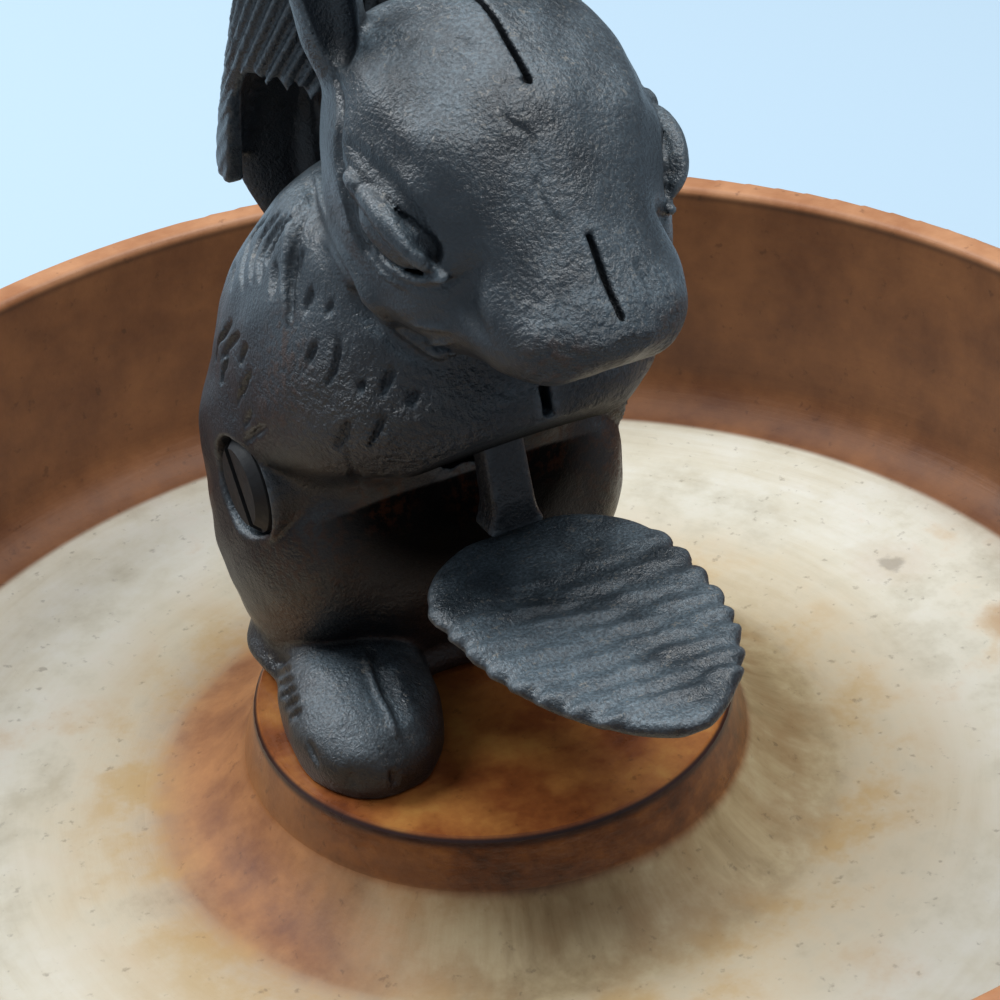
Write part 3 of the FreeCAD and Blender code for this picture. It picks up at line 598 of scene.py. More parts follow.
def lift_off(clay, lines):
    """The surface points under lines of pixels, every few pixels along each line."""
    dense = [smooth_line(line, max(4, int(run_length(line) / PIXEL_STEP))) for line in lines]
    points = clay.seen(np.concatenate(dense))
    parts = np.split(points, np.cumsum([len(line) for line in dense])[:-1])
    return [part[np.abs(clay.sample(part)) < MISS] for part in parts]


def stroke(clay, points, width, relief, blend=0.3):
    """A rounded ridge, or with a relief below zero a groove, thinner at its ends."""
    if len(points) < 2:
        return
    share = np.linspace(0.03, 0.97, len(points))
    full = np.sin(math.pi * share) ** 0.4
    height = abs(relief) * full
    radius = ((width * full) ** 2 / 4 + height ** 2) / (2 * height)
    lift = (radius - height) * (1.0 if relief < 0 else -1.0)
    form = strand(points + clay.slope(points) * lift[:, None], radius)
    if relief < 0:
        clay.carve(form, blend)
    else:
        clay.add(form, blend)


def strokes(clay, lines, width, relief, blend=0.3):
    """The same stroke along several lines of pixels."""
    for points in lift_off(clay, lines):
        stroke(clay, points, width, relief, blend)


def slit(clay, pixels, radius, depth):
    """An open stretch of the parting line, cut along the middle plane."""
    points = lift_off(clay, [pixels])[0]
    points[:, 0] = 0.0
    outward = clay.slope(points) * [0, 1, 1]
    for sink in np.arange(-2 * radius, depth, radius):
        clay.carve(strand(points - outward * sink, [radius]), 0.1)


def new_squirrel_clay():
    """An empty grid around the squirrel's right side."""
    return Clay((-1.8, -58.2, -1.2), (39.0, 54.6, 142.8), GRID_STEP)


def add_leg(clay):
    """The folded leg, the hollow between the legs, and a slipper of a foot."""
    clay.add(egg((23.0, -20.0, 27.5), (10.8, 17.5, 18.0), margin=14), 3.5)
    clay.add(egg((24.6, -21.0, 47.0), (7.6, 12.0, 10.0), margin=12), 4.0)
    clay.carve(egg((0.0, 8.0, 44.0), (20.5, 13.0, 15.5), margin=8), 1.5)
    clay.add(egg((23.2, -2.0, 3.0), (12.6, 20.8, 9.6), turned(0, 0, -12.6), margin=6, power=2.4), 1.2)


def add_ear(clay):
    """An upright cupped ear that faces forwards and outwards."""
    axes = turned(-6, 6, -34)
    clay.add(egg((18.2, 2.2, 125.4), (5.0, 4.6, 15.6), axes, margin=8), 2.0)
    clay.carve(egg((19.8, 6.2, 130.0), (3.8, 5.0, 13.8), axes), 0.4)


def add_eye(clay):
    """A deep almond socket, the ball in it and its lids."""
    corners = clay.seen(EYE_CORNERS)
    middle = clay.seen([EYE_MIDDLE])
    outward = clay.slope(middle)[0]
    axes = facing(corners[1] - corners[0], outward)
    half = np.linalg.norm(corners[1] - corners[0]) / 2
    clay.carve(egg(middle[0] + outward * 0.8, (half * 1.05, 5.0, 4.6), axes), 0.6)
    clay.add(egg(middle[0] - outward * 1.9, (half * 0.74, 3.9, 3.8), axes), 0.3)
    strokes(clay, [UPPER_LID], 3.4, 1.9, 0.3)
    strokes(clay, [LOWER_LID], 2.8, 1.3, 0.3)
    strokes(clay, [ABOVE_LID], 3.0, -0.7, 0.8)


def add_muzzle(clay):
    """The cheek pads, the nose between them, and the lip under them."""
    clay.add(egg((7.4, 37.6, 88.2), (6.6, 9.6, 6.6), turned(-24, 0, 10), margin=8), 3.5)
    clay.add(egg((0.0, 44.0, 88.5), (6.0, 5.6, 5.2), margin=8), 3.0)
    clay.add(egg((0.0, 35.6, 80.8), (8.2, 7.4, 3.4), turned(24, 0, 0), margin=8), 3.5)
    strokes(clay, [MUZZLE_CREASE], 4.2, -1.2, 1.6)
    strokes(clay, [NOSTRIL], 2.2, -0.5, 0.8)


def carve_fur(clay):
    """The cheek's rim, the mane's edge and the grooves and ticks of the fur."""
    strokes(clay, [CHEEK_RIM], 3.8, 1.1, 0.8)
    strokes(clay, [BELOW_RIM], 3.0, -1.0, 0.9)
    strokes(clay, [SOCKET_LINE], 2.0, -0.9, 0.4)
    strokes(clay, WHISKERS, 1.4, 0.6)
    strokes(clay, [MANE_EDGE], 2.2, 1.0, 0.4)
    strokes(clay, MANE_GROOVES, 1.3, -0.9, 0.0)
    strokes(clay, BACK_GROOVES, 1.7, -0.9, 0.1)
    strokes(clay, SHOULDER_TICKS, 1.3, -0.9, 0.0)
    strokes(clay, CHEST_TICKS, 1.2, -0.9, 0.0)
    strokes(clay, FLANK_FOLDS, 1.3, -0.5, 0.1)
    strokes(clay, [BESIDE_FOOT_RIDGE], 5.0, -0.9, 1.0)
    strokes(clay, [FOOT_RIDGE], 1.6, 0.8, 0.3)
    strokes(clay, FOOT_TICKS, 1.9, -0.8, 0.2)
    strokes(clay, TOE_LINES, 1.8, -0.6, 0.2)


def casting_waver(x, y, z):
    """The hand-made unevenness of a sand casting, in millimetres."""
    total = 0.0
    for kx, ky, kz, start, height in WAVER:
        total = total + height * np.sin(kx * x + ky * y + kz * z + start)
    return total


def sculpt_squirrel():
    """The squirrel's right side as clay, hollow like the casting."""
    clay = new_squirrel_clay()
    clay.add(level_column(TORSO, TORSO_POWER))
    head = new_squirrel_clay()
    head.add(flank_profile(HEAD))
    head.soften(3)
    clay.d = soft_min(clay.d, head.d, 2.0)
    add_leg(clay)
    add_ear(clay)
    add_muzzle(clay)
    add_eye(clay)
    carve_fur(clay)
    _, x, y, z = clay.window(clay.low, clay.high)
    clay.d += casting_waver(x, y, z)
    hollow = new_squirrel_clay()
    hollow.add(level_column(TORSO, TORSO_POWER))
    hollow.d += WALL
    hollow.carve(mouth_wedge(JAW / math.sin(math.atan(ROOF_RISE))))
    hollow.d = np.maximum(hollow.d, np.maximum(SOLE - z, z - HOLLOW_TOP))
    clay.d = soft_max(clay.d, -hollow.d, 0.0)
    corner = both(block((-MOUTH_SIDE, 0, 40), (MOUTH_SIDE, 60, 90)), mouth_wedge())
    clay.carve(corner, 0.4)
    clay.carve(egg((0.0, 5.5, 43.5), (24.5, 8.0, 9.5), power=3), 0.2)
    slot = cross_bar(PIVOT_AHEAD, PIVOT_HEIGHT, SLOT_REACH, -5.0, SLOT_HALF)
    clay.carve(both(slot, block((-9, PIVOT_AHEAD, MOUTH_HEIGHT), (9, 60, 120))), 0.5)
    clay.carve(block((-20, -80, GAP_BOTTOM), (GAP_HALF, PIVOT_AHEAD - HUB_REACH, GAP_TOP)), 0.8)
    clay.add(cross_bar(PIVOT_AHEAD, PIVOT_HEIGHT, BOSS_REACH, HUB_FACE, SKIN_AT_PIVOT - 2), 0.8)
    slit(clay, NOSE_SLIT, 0.42, 1.6)
    slit(clay, CROWN_SEAM, 0.48, 1.6)
    slit(clay, CHIN_SLIT, 0.8, 5.0)
    clay.d = np.maximum(clay.d, -z)
    return clay


def mark_right_half(clay):
    """What only the right half shows: a wandering crack and a nick on the forehead."""
    strokes(clay, [CRACK], 1.1, -0.35)
    strokes(clay, [NICK], 1.3, -0.4)


def drill_pivot(clay, sink):
    """The pivot's hole, with its round recess."""
    clay.carve(cross_bar(PIVOT_AHEAD, PIVOT_HEIGHT, BORE, -5.0, 45.0))
    clay.carve(cross_bar(PIVOT_AHEAD, PIVOT_HEIGHT, RECESS, SKIN_AT_PIVOT - sink, 45.0), 0.9)


# How far around a point its shelter is felt, near and far, and the space under the bib, for the masks of
# painted shade and painted edge highlight
CREASE_REACH = 1.6
SHELTER_REACH = 7.0
UNDER_BIB = np.array([0.0, 6.0, 46.0])
UNDER_BIB_REACH = np.array([33.0, 27.0, 30.0])


def box_mean(values, cells):
    """Each cell's mean over a box that reaches some cells to every side."""
    for axis in range(3):
        ends = [(0, 0)] * 3
        ends[axis] = (cells + 1, cells)
        total = np.cumsum(np.pad(values, ends, mode="edge"), axis=axis, dtype=np.float32)
        width = 2 * cells + 1
        values = (total[cut_along(axis, width, None)] - total[cut_along(axis, 0, -width)]) / width
    return values


def shade_and_wear_of(clay, points):
    """How sheltered and how exposed each surface point is, from 0 to 1: the share of
    iron around it, near and far. The sheltered share is used to paint shade; the exposed
    share lightens edges as rubbed paint and a painted highlight."""
    around = Clay(clay.low, clay.high, clay.step)
    filled = (clay.d < 0).astype(np.float32)
    around.d = box_mean(filled, int(CREASE_REACH / clay.step))
    near = around.sample(points)
    around.d = box_mean(filled, int(SHELTER_REACH / clay.step))
    far = around.sample(points)
    sheltered = np.clip(2.0 * (far - 0.48) + 1.2 * (near - 0.5), 0, 1)
    return {"sheltered": sheltered, "worn_and_highlit": np.clip(4.0 * (0.42 - near), 0, 1)}


def under_bib(points):
    """How deep points are in the space under the bib, from 0 to 1: where shade is painted."""
    near = np.linalg.norm((points - UNDER_BIB) / UNDER_BIB_REACH, axis=1)
    roof = ROOF_RISE * (points[:, 1] - MOUTH_AHEAD) + MOUTH_HEIGHT
    return np.clip(2.2 - 2 * near, 0, 1) * np.clip(roof + 0.8 - points[:, 2], 0, 1)


def spots_of(clay, points, spots):
    """How near each surface point is to spots of pixels and radii, from 0 to 1."""
    middles = clay.seen([(u, v) for u, v, _ in spots])
    total = np.zeros(len(points))
    for middle, (_, _, radius) in zip(middles, spots):
        gap = np.linalg.norm(points - middle, axis=1)
        total = np.maximum(total, np.clip(1.6 - gap / radius, 0, 1))
    return total


# Places of the finish on the photograph: pixel and radius in millimetres
RUST_SPOTS = [
    (380, 498, 5.0), (395, 482, 4.0), (472, 460, 4.5), (474, 490, 4.0), (551, 483, 2.0),
    (280, 380, 6.0), (284, 350, 5.0), (276, 410, 5.0), (300, 560, 8.0), (560, 370, 4.0),
]
COARSE_SPOTS = [
    (350, 430, 10.0), (375, 455, 9.0), (410, 440, 7.0), (330, 410, 8.0), (480, 395, 6.0),
    (590, 345, 7.0), (560, 365, 6.0),
]


def store_masks(piece, masks):
    """Stores each mask on the mesh's points."""
    for name, values in masks.items():
        layer = piece.data.attributes.new(name, "FLOAT", "POINT")
        layer.data.foreach_set("value", values.astype(np.float32))


def mesh_piece(name, points, faces):
    """A smooth-shaded mesh from sculpting coordinates."""
    mesh = bpy.data.meshes.new(name)
    points = np.asarray(points, float) * HALF_TURN * MM + [0, 0, DECK]
    mesh.vertices.add(len(points))
    mesh.vertices.foreach_set("co", points.astype(np.float32).ravel())
    mesh.loops.add(faces.size)
    mesh.loops.foreach_set("vertex_index", faces.astype(np.int32).ravel())
    mesh.polygons.add(len(faces))
    mesh.polygons.foreach_set("loop_start", np.arange(0, faces.size, 4, dtype=np.int32))
    mesh.update(calc_edges=True)
    mesh.validate()
    mesh.polygons.foreach_set("use_smooth", np.ones(len(mesh.polygons), bool))
    piece = bpy.data.objects.new(name, mesh)
    bpy.context.collection.objects.link(piece)
    return piece


def trim_half(piece, outward):
    """Cuts a half flat on the middle plane and closes it there."""
    shape = bmesh.new()
    shape.from_mesh(piece.data)
    everything = list(shape.verts) + list(shape.edges) + list(shape.faces)
    cut = bmesh.ops.bisect_plane(shape, geom=everything, dist=1e-7, plane_co=(0, 0, 0),
                                 plane_no=(outward, 0, 0), clear_outer=True)
    rim = [item for item in cut["geom_cut"] if isinstance(item, bmesh.types.BMEdge)]
    filled = bmesh.ops.triangle_fill(shape, use_beauty=True, edges=rim, normal=(outward, 0, 0))
    for item in filled["geom"]:
        if isinstance(item, bmesh.types.BMFace):
            item.smooth = False
    for edge in rim:
        if edge.is_valid:
            edge.smooth = False
    shape.to_mesh(piece.data)
    shape.free()


def squirrel_half(name, clay, sink, mirrored):
    """One half of the casting."""
    kept = clay.d.copy()
    if not mirrored:
        mark_right_half(clay)
    drill_pivot(clay, sink)
    points, faces = clay.skin()
    # Masks of painted shade and of rubbed, highlit edges, besides the rust and coarse spots.
    masks = shade_and_wear_of(clay, points)
    masks["rust"] = spots_of(clay, points, RUST_SPOTS)
    masks["coarse"] = spots_of(clay, points, COARSE_SPOTS)
    # The space under the bib joins the sheltered mask, which paints shade.
    masks["sheltered"] = np.maximum(masks["sheltered"], under_bib(points))
    clay.d = kept
    if mirrored:
        points = points * [-1, 1, 1]
        faces = faces[:, ::-1]
    piece = mesh_piece(name, points, faces)
    store_masks(piece, masks)
    trim_half(piece, -1.0 if mirrored else 1.0)
    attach(piece, "base")
    return piece


# The lever: tail hood, arm, stem and leaf tray

HOOD = [
    (72.0, -47.0, 18.6, 13.6),
    (79.0, -46.0, 19.4, 14.6),
    (90.0, -41.0, 19.6, 16.8),
    (100.0, -36.0, 19.4, 17.0),
    (114.0, -31.8, 17.8, 15.0),
    (127.0, -31.8, 14.6, 11.8),
    (134.0, -32.6, 10.0, 8.0),
    (137.5, -33.2, 4.0, 3.4),
]
HOOD_WALL = 2.3
HOOD_FOOT = 78.6
TAIL_STEM = [
    (54.0, -48.0, 3.0, 2.5),
    (58.0, -51.5, 5.5, 4.5),
    (66.0, -55.5, 9.5, 4.8),
    (73.0, -57.0, 12.2, 4.4),
    (80.0, -57.2, 13.4, 3.8),
    (90.0, -55.5, 11.0, 3.0),
    (97.0, -52.5, 5.0, 2.0),
]
HOOD_MOUTH = [(-44.6, 78.0), (-41.5, 86.0), (-40.0, 90.5), (-38.5, 96.0), (-35.0, 100.6), (-30.0, 103.4),
              (-25.0, 103.0), (-20.0, 100.0), (-10.0, 95.0), (10.0, 90.0), (10.0, 50.0), (-44.6, 50.0)]
HAIRS = 40
HAIR_LEAN = 0.024
HAIR_START = 90.0
LOCK_PITCH = 2.6
LOCK_DROP = 2.8
LEAF_HEIGHT = 36.5
LEAF_THICKNESS = 3.0
LEAF_BACK = 9.5
LEAF_MIDDLE = 25.0
LEAF_FRONT = 67.0
LEAF_HALF = 20.0
LEAF_PITCH = 6.4
LEAF_RATIO = 0.93
GROOVES = 8
ARM_HALF = 3.6
FLARE_HEIGHT = 7.0
FLARE_SPREAD = 2.6


def hood_column(rows, furrow=0.0):
    """The tail's hood as level ovals, with hair furrows in its skin: height, middle,
    half width, half depth."""
    def distance(x, y, z):
        middle, half, depth = np.moveaxis(rows_at(rows, z), -1, 0)
        ring = np.sqrt((x / half) ** 2 + ((y - middle) / depth) ** 2)
        gap = (ring - 1) * np.minimum(half, depth)
        if furrow:
            angle = np.arctan2(x, middle - y)
            turn = np.abs(angle) - HAIR_LEAN * (z - HAIR_START)
            hair = 0.5 + 0.5 * np.cos(HAIRS * turn + 0.7 * np.sin(0.11 * z + 4 * angle))
            fade = np.clip((z - 84) / 14, 0.25, 1) * np.clip(half / 12, 0, 1)
            gap = gap + furrow * (1 - hair) * fade
        return np.maximum(gap, np.maximum(rows[0][0] - z, z - rows[-1][0]))

    return EVERYWHERE + (distance,)


def hood_mouth():
    """The space under the hood's rim, whose front edge ends in ragged locks."""
    def distance(x, y, z):
        lock = np.abs(x / LOCK_PITCH - np.round(x / LOCK_PITCH)) * 2
        ragged = LOCK_DROP * lock * np.clip((y + 34) / 8, 0, 1)
        return polygon_gap(HOOD_MOUTH, y + 0 * x, z + ragged)

    return EVERYWHERE + (distance,)


def leaf_half(ahead):
    """Half the leaf's width at places along it."""
    behind = np.clip((LEAF_MIDDLE - ahead) / (LEAF_MIDDLE - LEAF_BACK), 0, 1)
    before = np.clip((ahead - LEAF_MIDDLE) / (LEAF_FRONT - LEAF_MIDDLE), 0, 1)
    return LEAF_HALF * np.where(ahead < LEAF_MIDDLE, (1 - behind ** 2.2) ** (1 / 2.2),
                                (1 - before ** 2.6) ** (1 / 1.6))


def leaf_ridges(ahead):
    """The ridges' wave along the leaf, from 0 in a groove to 1 on a ridge."""
    start = LEAF_MIDDLE - LEAF_PITCH / 2
    share = 1 - (ahead - start) * (1 - LEAF_RATIO) / LEAF_PITCH
    turns = np.log(np.clip(share, 0.05, None)) / math.log(LEAF_RATIO)
    wave = np.abs(np.sin(math.pi * turns))
    return np.where((turns > 0) & (turns < GROOVES), wave, 0.0)


def leaf_form():
    """The ridged, scalloped leaf."""
    def distance(x, y, z):
        waver = 0.35 * np.sin(0.42 * x + 0.3 * y) + 0.25 * np.sin(0.9 * x - 0.5 * y)
        wave = leaf_ridges(y + 0.05 * np.abs(x) + waver) ** 1.4
        width = leaf_half(y) + 0.9 * wave
        edge = (np.abs(x) - width) * 0.8
        edge = np.maximum(edge, np.maximum(LEAF_BACK - y, y - LEAF_FRONT))
        calm = np.clip((y - LEAF_MIDDLE + 6) / 12, 0.35, 1.0) * (0.85 + 0.25 * np.sin(0.55 * x + 1.7 * y))
        middle = LEAF_HEIGHT - LEAF_THICKNESS / 2 + 0.75 * wave * calm
        flat = np.abs(z - middle) - LEAF_THICKNESS / 2
        return soft_max(edge, flat, 2.6)

    low = np.array([-LEAF_HALF - 4, LEAF_BACK - 4, LEAF_HEIGHT - 8])
    return low, np.array([LEAF_HALF + 4, LEAF_FRONT + 4, LEAF_HEIGHT + 6]), distance


ARM_SIDE = [(-13.6, 38.0), (-13.6, 43.0), (-9.3, 57.5), (-4.3, 62.5), (17.0, 48.4), (54.0, 68.0),
            (54.0, 56.0), (17.0, 33.6), (9.6, 43.0), (-6.0, 50.9), (-8.0, 38.0)]


def arm_form():
    """The arm and stem as a flat bar with rounded edges, wider where it meets the leaf."""
    corners = [(-y, z) for y, z in ARM_SIDE]

    def distance(x, y, z):
        spread = np.clip((LEAF_HEIGHT + FLARE_HEIGHT - z) / FLARE_HEIGHT, 0, 1) * (y > 0)
        half = ARM_HALF + FLARE_SPREAD * spread ** 2
        return soft_max(polygon_gap(corners, y, z), np.abs(x) - half, 1.2)

    return (-10, -60, 30), (10, 20, 74), distance


def sculpt_lever():
    """The tail, arm, stem and leaf in one piece."""
    clay = Clay((-22.2, -66.0, 28.8), (22.2, 70.8, 139.2), GRID_STEP)
    clay.add(hood_column(HOOD, 0.9))
    inside = hood_column(HOOD)
    clay.carve(inside[:2] + (lambda x, y, z: inside[2](x, y, z) + HOOD_WALL,), 0.4)
    clay.carve(block((-40, -90, 20), (40, 40, HOOD_FOOT)), 0.6)
    clay.carve(hood_mouth(), 0.4)
    clay.add(hood_column(TAIL_STEM), 2.0)
    clay.add(strand([(0, -50, 58), (0, -53, 68), (0, -54, 80), (0, -53, 88)], [4.0, 3.6, 2.6, 0.8]), 1.5)
    clay.add(leaf_form())
    clay.add(arm_form(), 1.5)
    clay.add(cross_bar(PIVOT_AHEAD, PIVOT_HEIGHT, HUB_REACH, -6.5, 6.5), 0.5)
    clay.carve(cross_bar(PIVOT_AHEAD, PIVOT_HEIGHT, 4.05, -9, 9))
    return clay


# Materials. What feeds a shader is another node's output, a number or a colour.

def material(name):
    """A new node material and its shader."""
    made = bpy.data.materials.new(name)
    made.use_nodes = True
    return made, made.node_tree.nodes["Principled BSDF"]


def feed(socket, value):
    """Joins a socket to a node's output, or gives it a number or a colour."""
    if isinstance(value, bpy.types.NodeSocket):
        socket.id_data.links.new(value, socket)
    else:
        socket.default_value = value + (1.0,) if socket.type == "RGBA" else value


def wire(tree, kind, inputs=None, **settings):
    """A new node, with its settings and what feeds its inputs."""
    node = tree.nodes.new(kind)
    for key, value in settings.items():
        setattr(node, key, value)
    for key, value in (inputs or {}).items():
        feed(node.inputs[key], value)
    return node


def source(shader, kind, output, **settings):
    """The output of a node that needs no input."""
    return wire(shader.id_data, kind, **settings).outputs[output]


def ramp(factor, stops):
    """A colour ramp. Each stop is a place from 0 to 1, and its colour."""
    node = wire(factor.id_data, "ShaderNodeValToRGB", {"Fac": factor})
    band = node.color_ramp
    while len(band.elements) < len(stops):
        band.elements.new(0.5)
    for element, (place, *colour) in zip(band.elements, stops):
        element.position = place
        element.color = colour + [1.0]
    return node.outputs["Color"]


def arithmetic(operation):
    """A function for one kind of arithmetic between two values of a shader."""
    def step(first, second):
        tree = (first if isinstance(first, bpy.types.NodeSocket) else second).id_data
        return wire(tree, "ShaderNodeMath", {0: first, 1: second}, operation=operation).outputs[0]

    return step


times = arithmetic("MULTIPLY")
plus = arithmetic("ADD")
minus = arithmetic("SUBTRACT")
larger = arithmetic("MAXIMUM")


def fade(value, start, end, low=0.0, high=1.0):
    """A smooth change from low to high as a value goes from start to end."""
    inputs = {"Value": value, "From Min": start, "From Max": end, "To Min": low, "To Max": high}
    node = wire(value.id_data, "ShaderNodeMapRange", inputs, interpolation_type="SMOOTHSTEP")
    return node.outputs["Result"]


def noise(place, scale, detail, roughness=0.6, distortion=0.0):
    """Cloudy noise from 0 to 1."""
    inputs = {"Vector": place, "Scale": scale, "Detail": detail, "Roughness": roughness,
              "Distortion": distortion}
    return wire(place.id_data, "ShaderNodeTexNoise", inputs).outputs["Fac"]


def mixed(share, first, second, kind="MIX"):
    """Two colours mixed by a share."""
    inputs = {0: share, 6: first, 7: second}
    return wire(share.id_data, "ShaderNodeMix", inputs, data_type="RGBA", blend_type=kind).outputs[2]


def coat(shader, colour, roughness, relief, strength, height):
    """Feeds a shader its colour, its roughness and a fine relief of a height in metres."""
    feed(shader.inputs["Base Color"], colour)
    feed(shader.inputs["Roughness"], roughness)
    inputs = {"Strength": strength, "Distance": height, "Height": relief}
    bump = wire(shader.id_data, "ShaderNodeBump", inputs)
    feed(shader.inputs["Normal"], bump.outputs["Normal"])


PAINT = [(0.3, 0.0042, 0.0062, 0.0090), (0.7, 0.0110, 0.0150, 0.0205)]
# Edge colour: partly rubbed paint, partly a painted highlight on convex edges.
WORN_AND_HIGHLIT_EDGE = (0.120, 0.145, 0.165)
# Dust colour doubles as a painted sheen of the sky on up-facing surfaces.
DUST_AND_SHEEN = (0.150, 0.200, 0.235)
LINT = (0.20, 0.19, 0.17)
RUST = (0.042, 0.016, 0.007)
# Near-black painted shade for creases and hollows, and a browner mix of it over rust.
PAINTED_SHADE = (0.0020, 0.0021, 0.0024)
RUST_IN_PAINTED_SHADE = (0.035, 0.012, 0.005)


def cast_iron():
    """Black paint over sandy cast iron, with rust spots, and dust and lint on top.
    Painted light too: a sky sheen on tops, a highlight on edges, shade in sheltered places.
    """
    made, shader = material("cast_iron")
    place = source(shader, "ShaderNodeTexCoord", "Object")
    normal = source(shader, "ShaderNodeTexCoord", "Normal")
    up = wire(shader.id_data, "ShaderNodeSeparateXYZ", {"Vector": normal}).outputs["Z"]
    worn_and_highlit, rust, coarse, sheltered = [source(shader, "ShaderNodeAttribute", "Fac", attribute_name=name)
                                     for name in ("worn_and_highlit", "rust", "coarse", "sheltered")]
    broad = noise(place, 60.0, 5.0)
    sand = noise(place, 2000.0, 3.0)
    pits = noise(place, 700.0, 4.0)
    threads = noise(place, 900.0, 2.0, 0.5, 1.5)
    colour = ramp(broad, PAINT)
    # Exposed edges lightened blue-grey: rubbed paint and a painted highlight.
    colour = mixed(times(worn_and_highlit, fade(pits, 0.3, 0.6, 0.1, 0.8)), colour, WORN_AND_HIGHLIT_EDGE)
    # Open, up-facing surfaces lightened: settled dust and a painted sheen from the sky above.
    open_top = times(fade(up, 0.2, 1.0), fade(sheltered, 0.6, 0.1))
    dust_and_sheen = times(open_top, fade(sand, 0.35, 0.70, 0.35, 1.0))
    colour = mixed(times(dust_and_sheen, fade(broad, 0.35, 0.62, 0.25, 1.0)), colour, DUST_AND_SHEEN)
    colour = mixed(times(open_top, fade(threads, 0.63, 0.70, 0.0, 0.8)), colour, LINT)
    stain = times(rust, fade(pits, 0.45, 0.62, 0.0, 0.8))
    colour = mixed(stain, colour, RUST)
    # Sheltered places and the space under the bib darkened nearly to black as painted shade, browner where
    # rust lies.
    colour = mixed(fade(sheltered, 0.25, 0.9, 0.0, 0.95), colour, mixed(stain, PAINTED_SHADE, RUST_IN_PAINTED_SHADE))
    gloss = plus(fade(broad, 0.3, 0.7, 0.30, 0.44), times(larger(stain, sheltered), 0.25))
    feed(shader.inputs["Specular IOR Level"], fade(sheltered, 0.2, 0.9, 0.75, 0.04))
    relief = plus(times(sand, 0.35), times(pits, 0.5))
    relief = plus(relief, times(pits, times(coarse, 2.0)))
    coat(shader, colour, gloss, relief, 0.8, 0.0008)
    return made


def aged_metal(name, colour, metallic, roughness):
    """Darkened fastener metal."""
    made, shader = material(name)
    wear = noise(source(shader, "ShaderNodeTexCoord", "Object"), 500.0, 4.0)
    tone = ramp(wear, [(0.35, *(0.6 * share for share in colour)), (0.7, *colour)])
    feed(shader.inputs["Metallic"], metallic)
    coat(shader, tone, fade(wear, 0.3, 0.7, roughness - 0.08, roughness + 0.08), wear, 0.4, 0.0003)
    return made


# The bowl's wood, in metres. Each tone's stops are places on a noise and their colours.

PALE = [(0.25, 0.55, 0.48, 0.34), (0.50, 0.66, 0.60, 0.46), (0.75, 0.72, 0.68, 0.56)]
GREY = [(0.30, 0.50, 0.46, 0.36), (0.48, 0.66, 0.63, 0.53), (0.66, 0.74, 0.73, 0.67)]
WALL_TONE = [(0.28, 0.012, 0.004, 0.002), (0.45, 0.026, 0.009, 0.004), (0.62, 0.055, 0.020, 0.007),
             (0.80, 0.11, 0.043, 0.015)]
RIM_TONE = [(0.3, 0.34, 0.13, 0.05), (0.7, 0.56, 0.27, 0.13)]
OUTSIDE = [(0.3, 0.14, 0.05, 0.018), (0.7, 0.27, 0.11, 0.040)]
COVE = [(0.30, 0.22, 0.15, 0.065), (0.50, 0.38, 0.29, 0.155), (0.70, 0.50, 0.42, 0.26)]
WARM = [(0.3, 0.18, 0.055, 0.016), (0.7, 0.50, 0.220, 0.075)]
BAND = [(0.30, 0.050, 0.016, 0.006), (0.5, 0.17, 0.056, 0.014), (0.72, 0.33, 0.13, 0.032)]
DECK_TONE = [(0.27, 0.11, 0.028, 0.010), (0.45, 0.29, 0.085, 0.022), (0.60, 0.46, 0.175, 0.042),
             (0.78, 0.60, 0.31, 0.075)]

FLOOR_TOP = 0.0092
RIM_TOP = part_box("bowl")[1][2]
BOWL_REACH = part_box("bowl")[1][0]

# How far from the axis each zone's colour starts, and where it is whole
STAINED_EDGE = (0.108, 0.119)
WALL_FOOT = (0.100, 0.104)
WARM_FLOOR = (0.090, 0.060)
COVE_REACH = (0.0700, 0.0520)
BAND_REACH = (0.0500, 0.0470)
DECK_REACH = (0.0420, 0.0410)
EDGE_LINE_REACH = (0.0430, 0.0420)

# Stains on the floor: across, along and radius, and how dark
FLOOR_SPOTS = [
    (0.0980, -0.0130, 0.0022, 1.0), (0.1045, -0.0150, 0.0012, 0.5), (0.1080, -0.0175, 0.0010, 0.5),
    (0.0925, -0.0300, 0.0016, 0.6), (0.1120, -0.0080, 0.0018, 0.3), (0.0900, 0.0130, 0.0030, 0.35),
    (-0.0920, -0.0300, 0.0016, 0.7), (-0.0960, -0.0180, 0.0014, 0.3), (-0.1010, -0.0520, 0.0015, 0.35),
]


class Wood:
    """What the zones of the bowl's finish share: where a point is, and its noises."""

    def __init__(self, shader):
        self.tree = shader.id_data
        place = source(shader, "ShaderNodeTexCoord", "Object")
        self.side, self.along, self.height = self.node("SeparateXYZ", {"Vector": place})
        self.flat = self.node("CombineXYZ", {"X": self.side, "Y": self.along})[0]
        self.reach = self.node("VectorMath", {0: self.flat}, operation="LENGTH")["Value"]
        heading = self.node("VectorMath", {0: self.flat}, operation="NORMALIZE")["Vector"]
        self.heading = self.node("SeparateXYZ", {"Vector": heading})
        self.blotch = noise(place, 16.0, 5.0, 0.6, 0.4)
        self.mottle = noise(place, 70.0, 5.0, 0.62)
        self.speck = noise(place, 420.0, 3.0)
        self.rings = noise(self.turned(420.0, 3.0, 420.0), 1.0, 4.0)
        self.streaks = noise(self.turned(160.0, 5.0, 220.0), 1.0, 5.0, 0.65)
        self.shift = times(minus(self.blotch, 0.5), 0.016)
        self.soft_reach = plus(self.reach, self.shift)

    def node(self, kind, inputs, **settings):
        """The outputs of a new node."""
        return wire(self.tree, "ShaderNode" + kind, inputs, **settings).outputs

    def turned(self, across, around, up):
        """A place that stretches noise around the axis, as a lathe does."""
        level = plus(times(self.reach, across), times(self.height, up))
        side, along, _ = self.heading
        return self.node("CombineXYZ", {"X": times(side, around), "Y": times(along, around), "Z": level})[0]


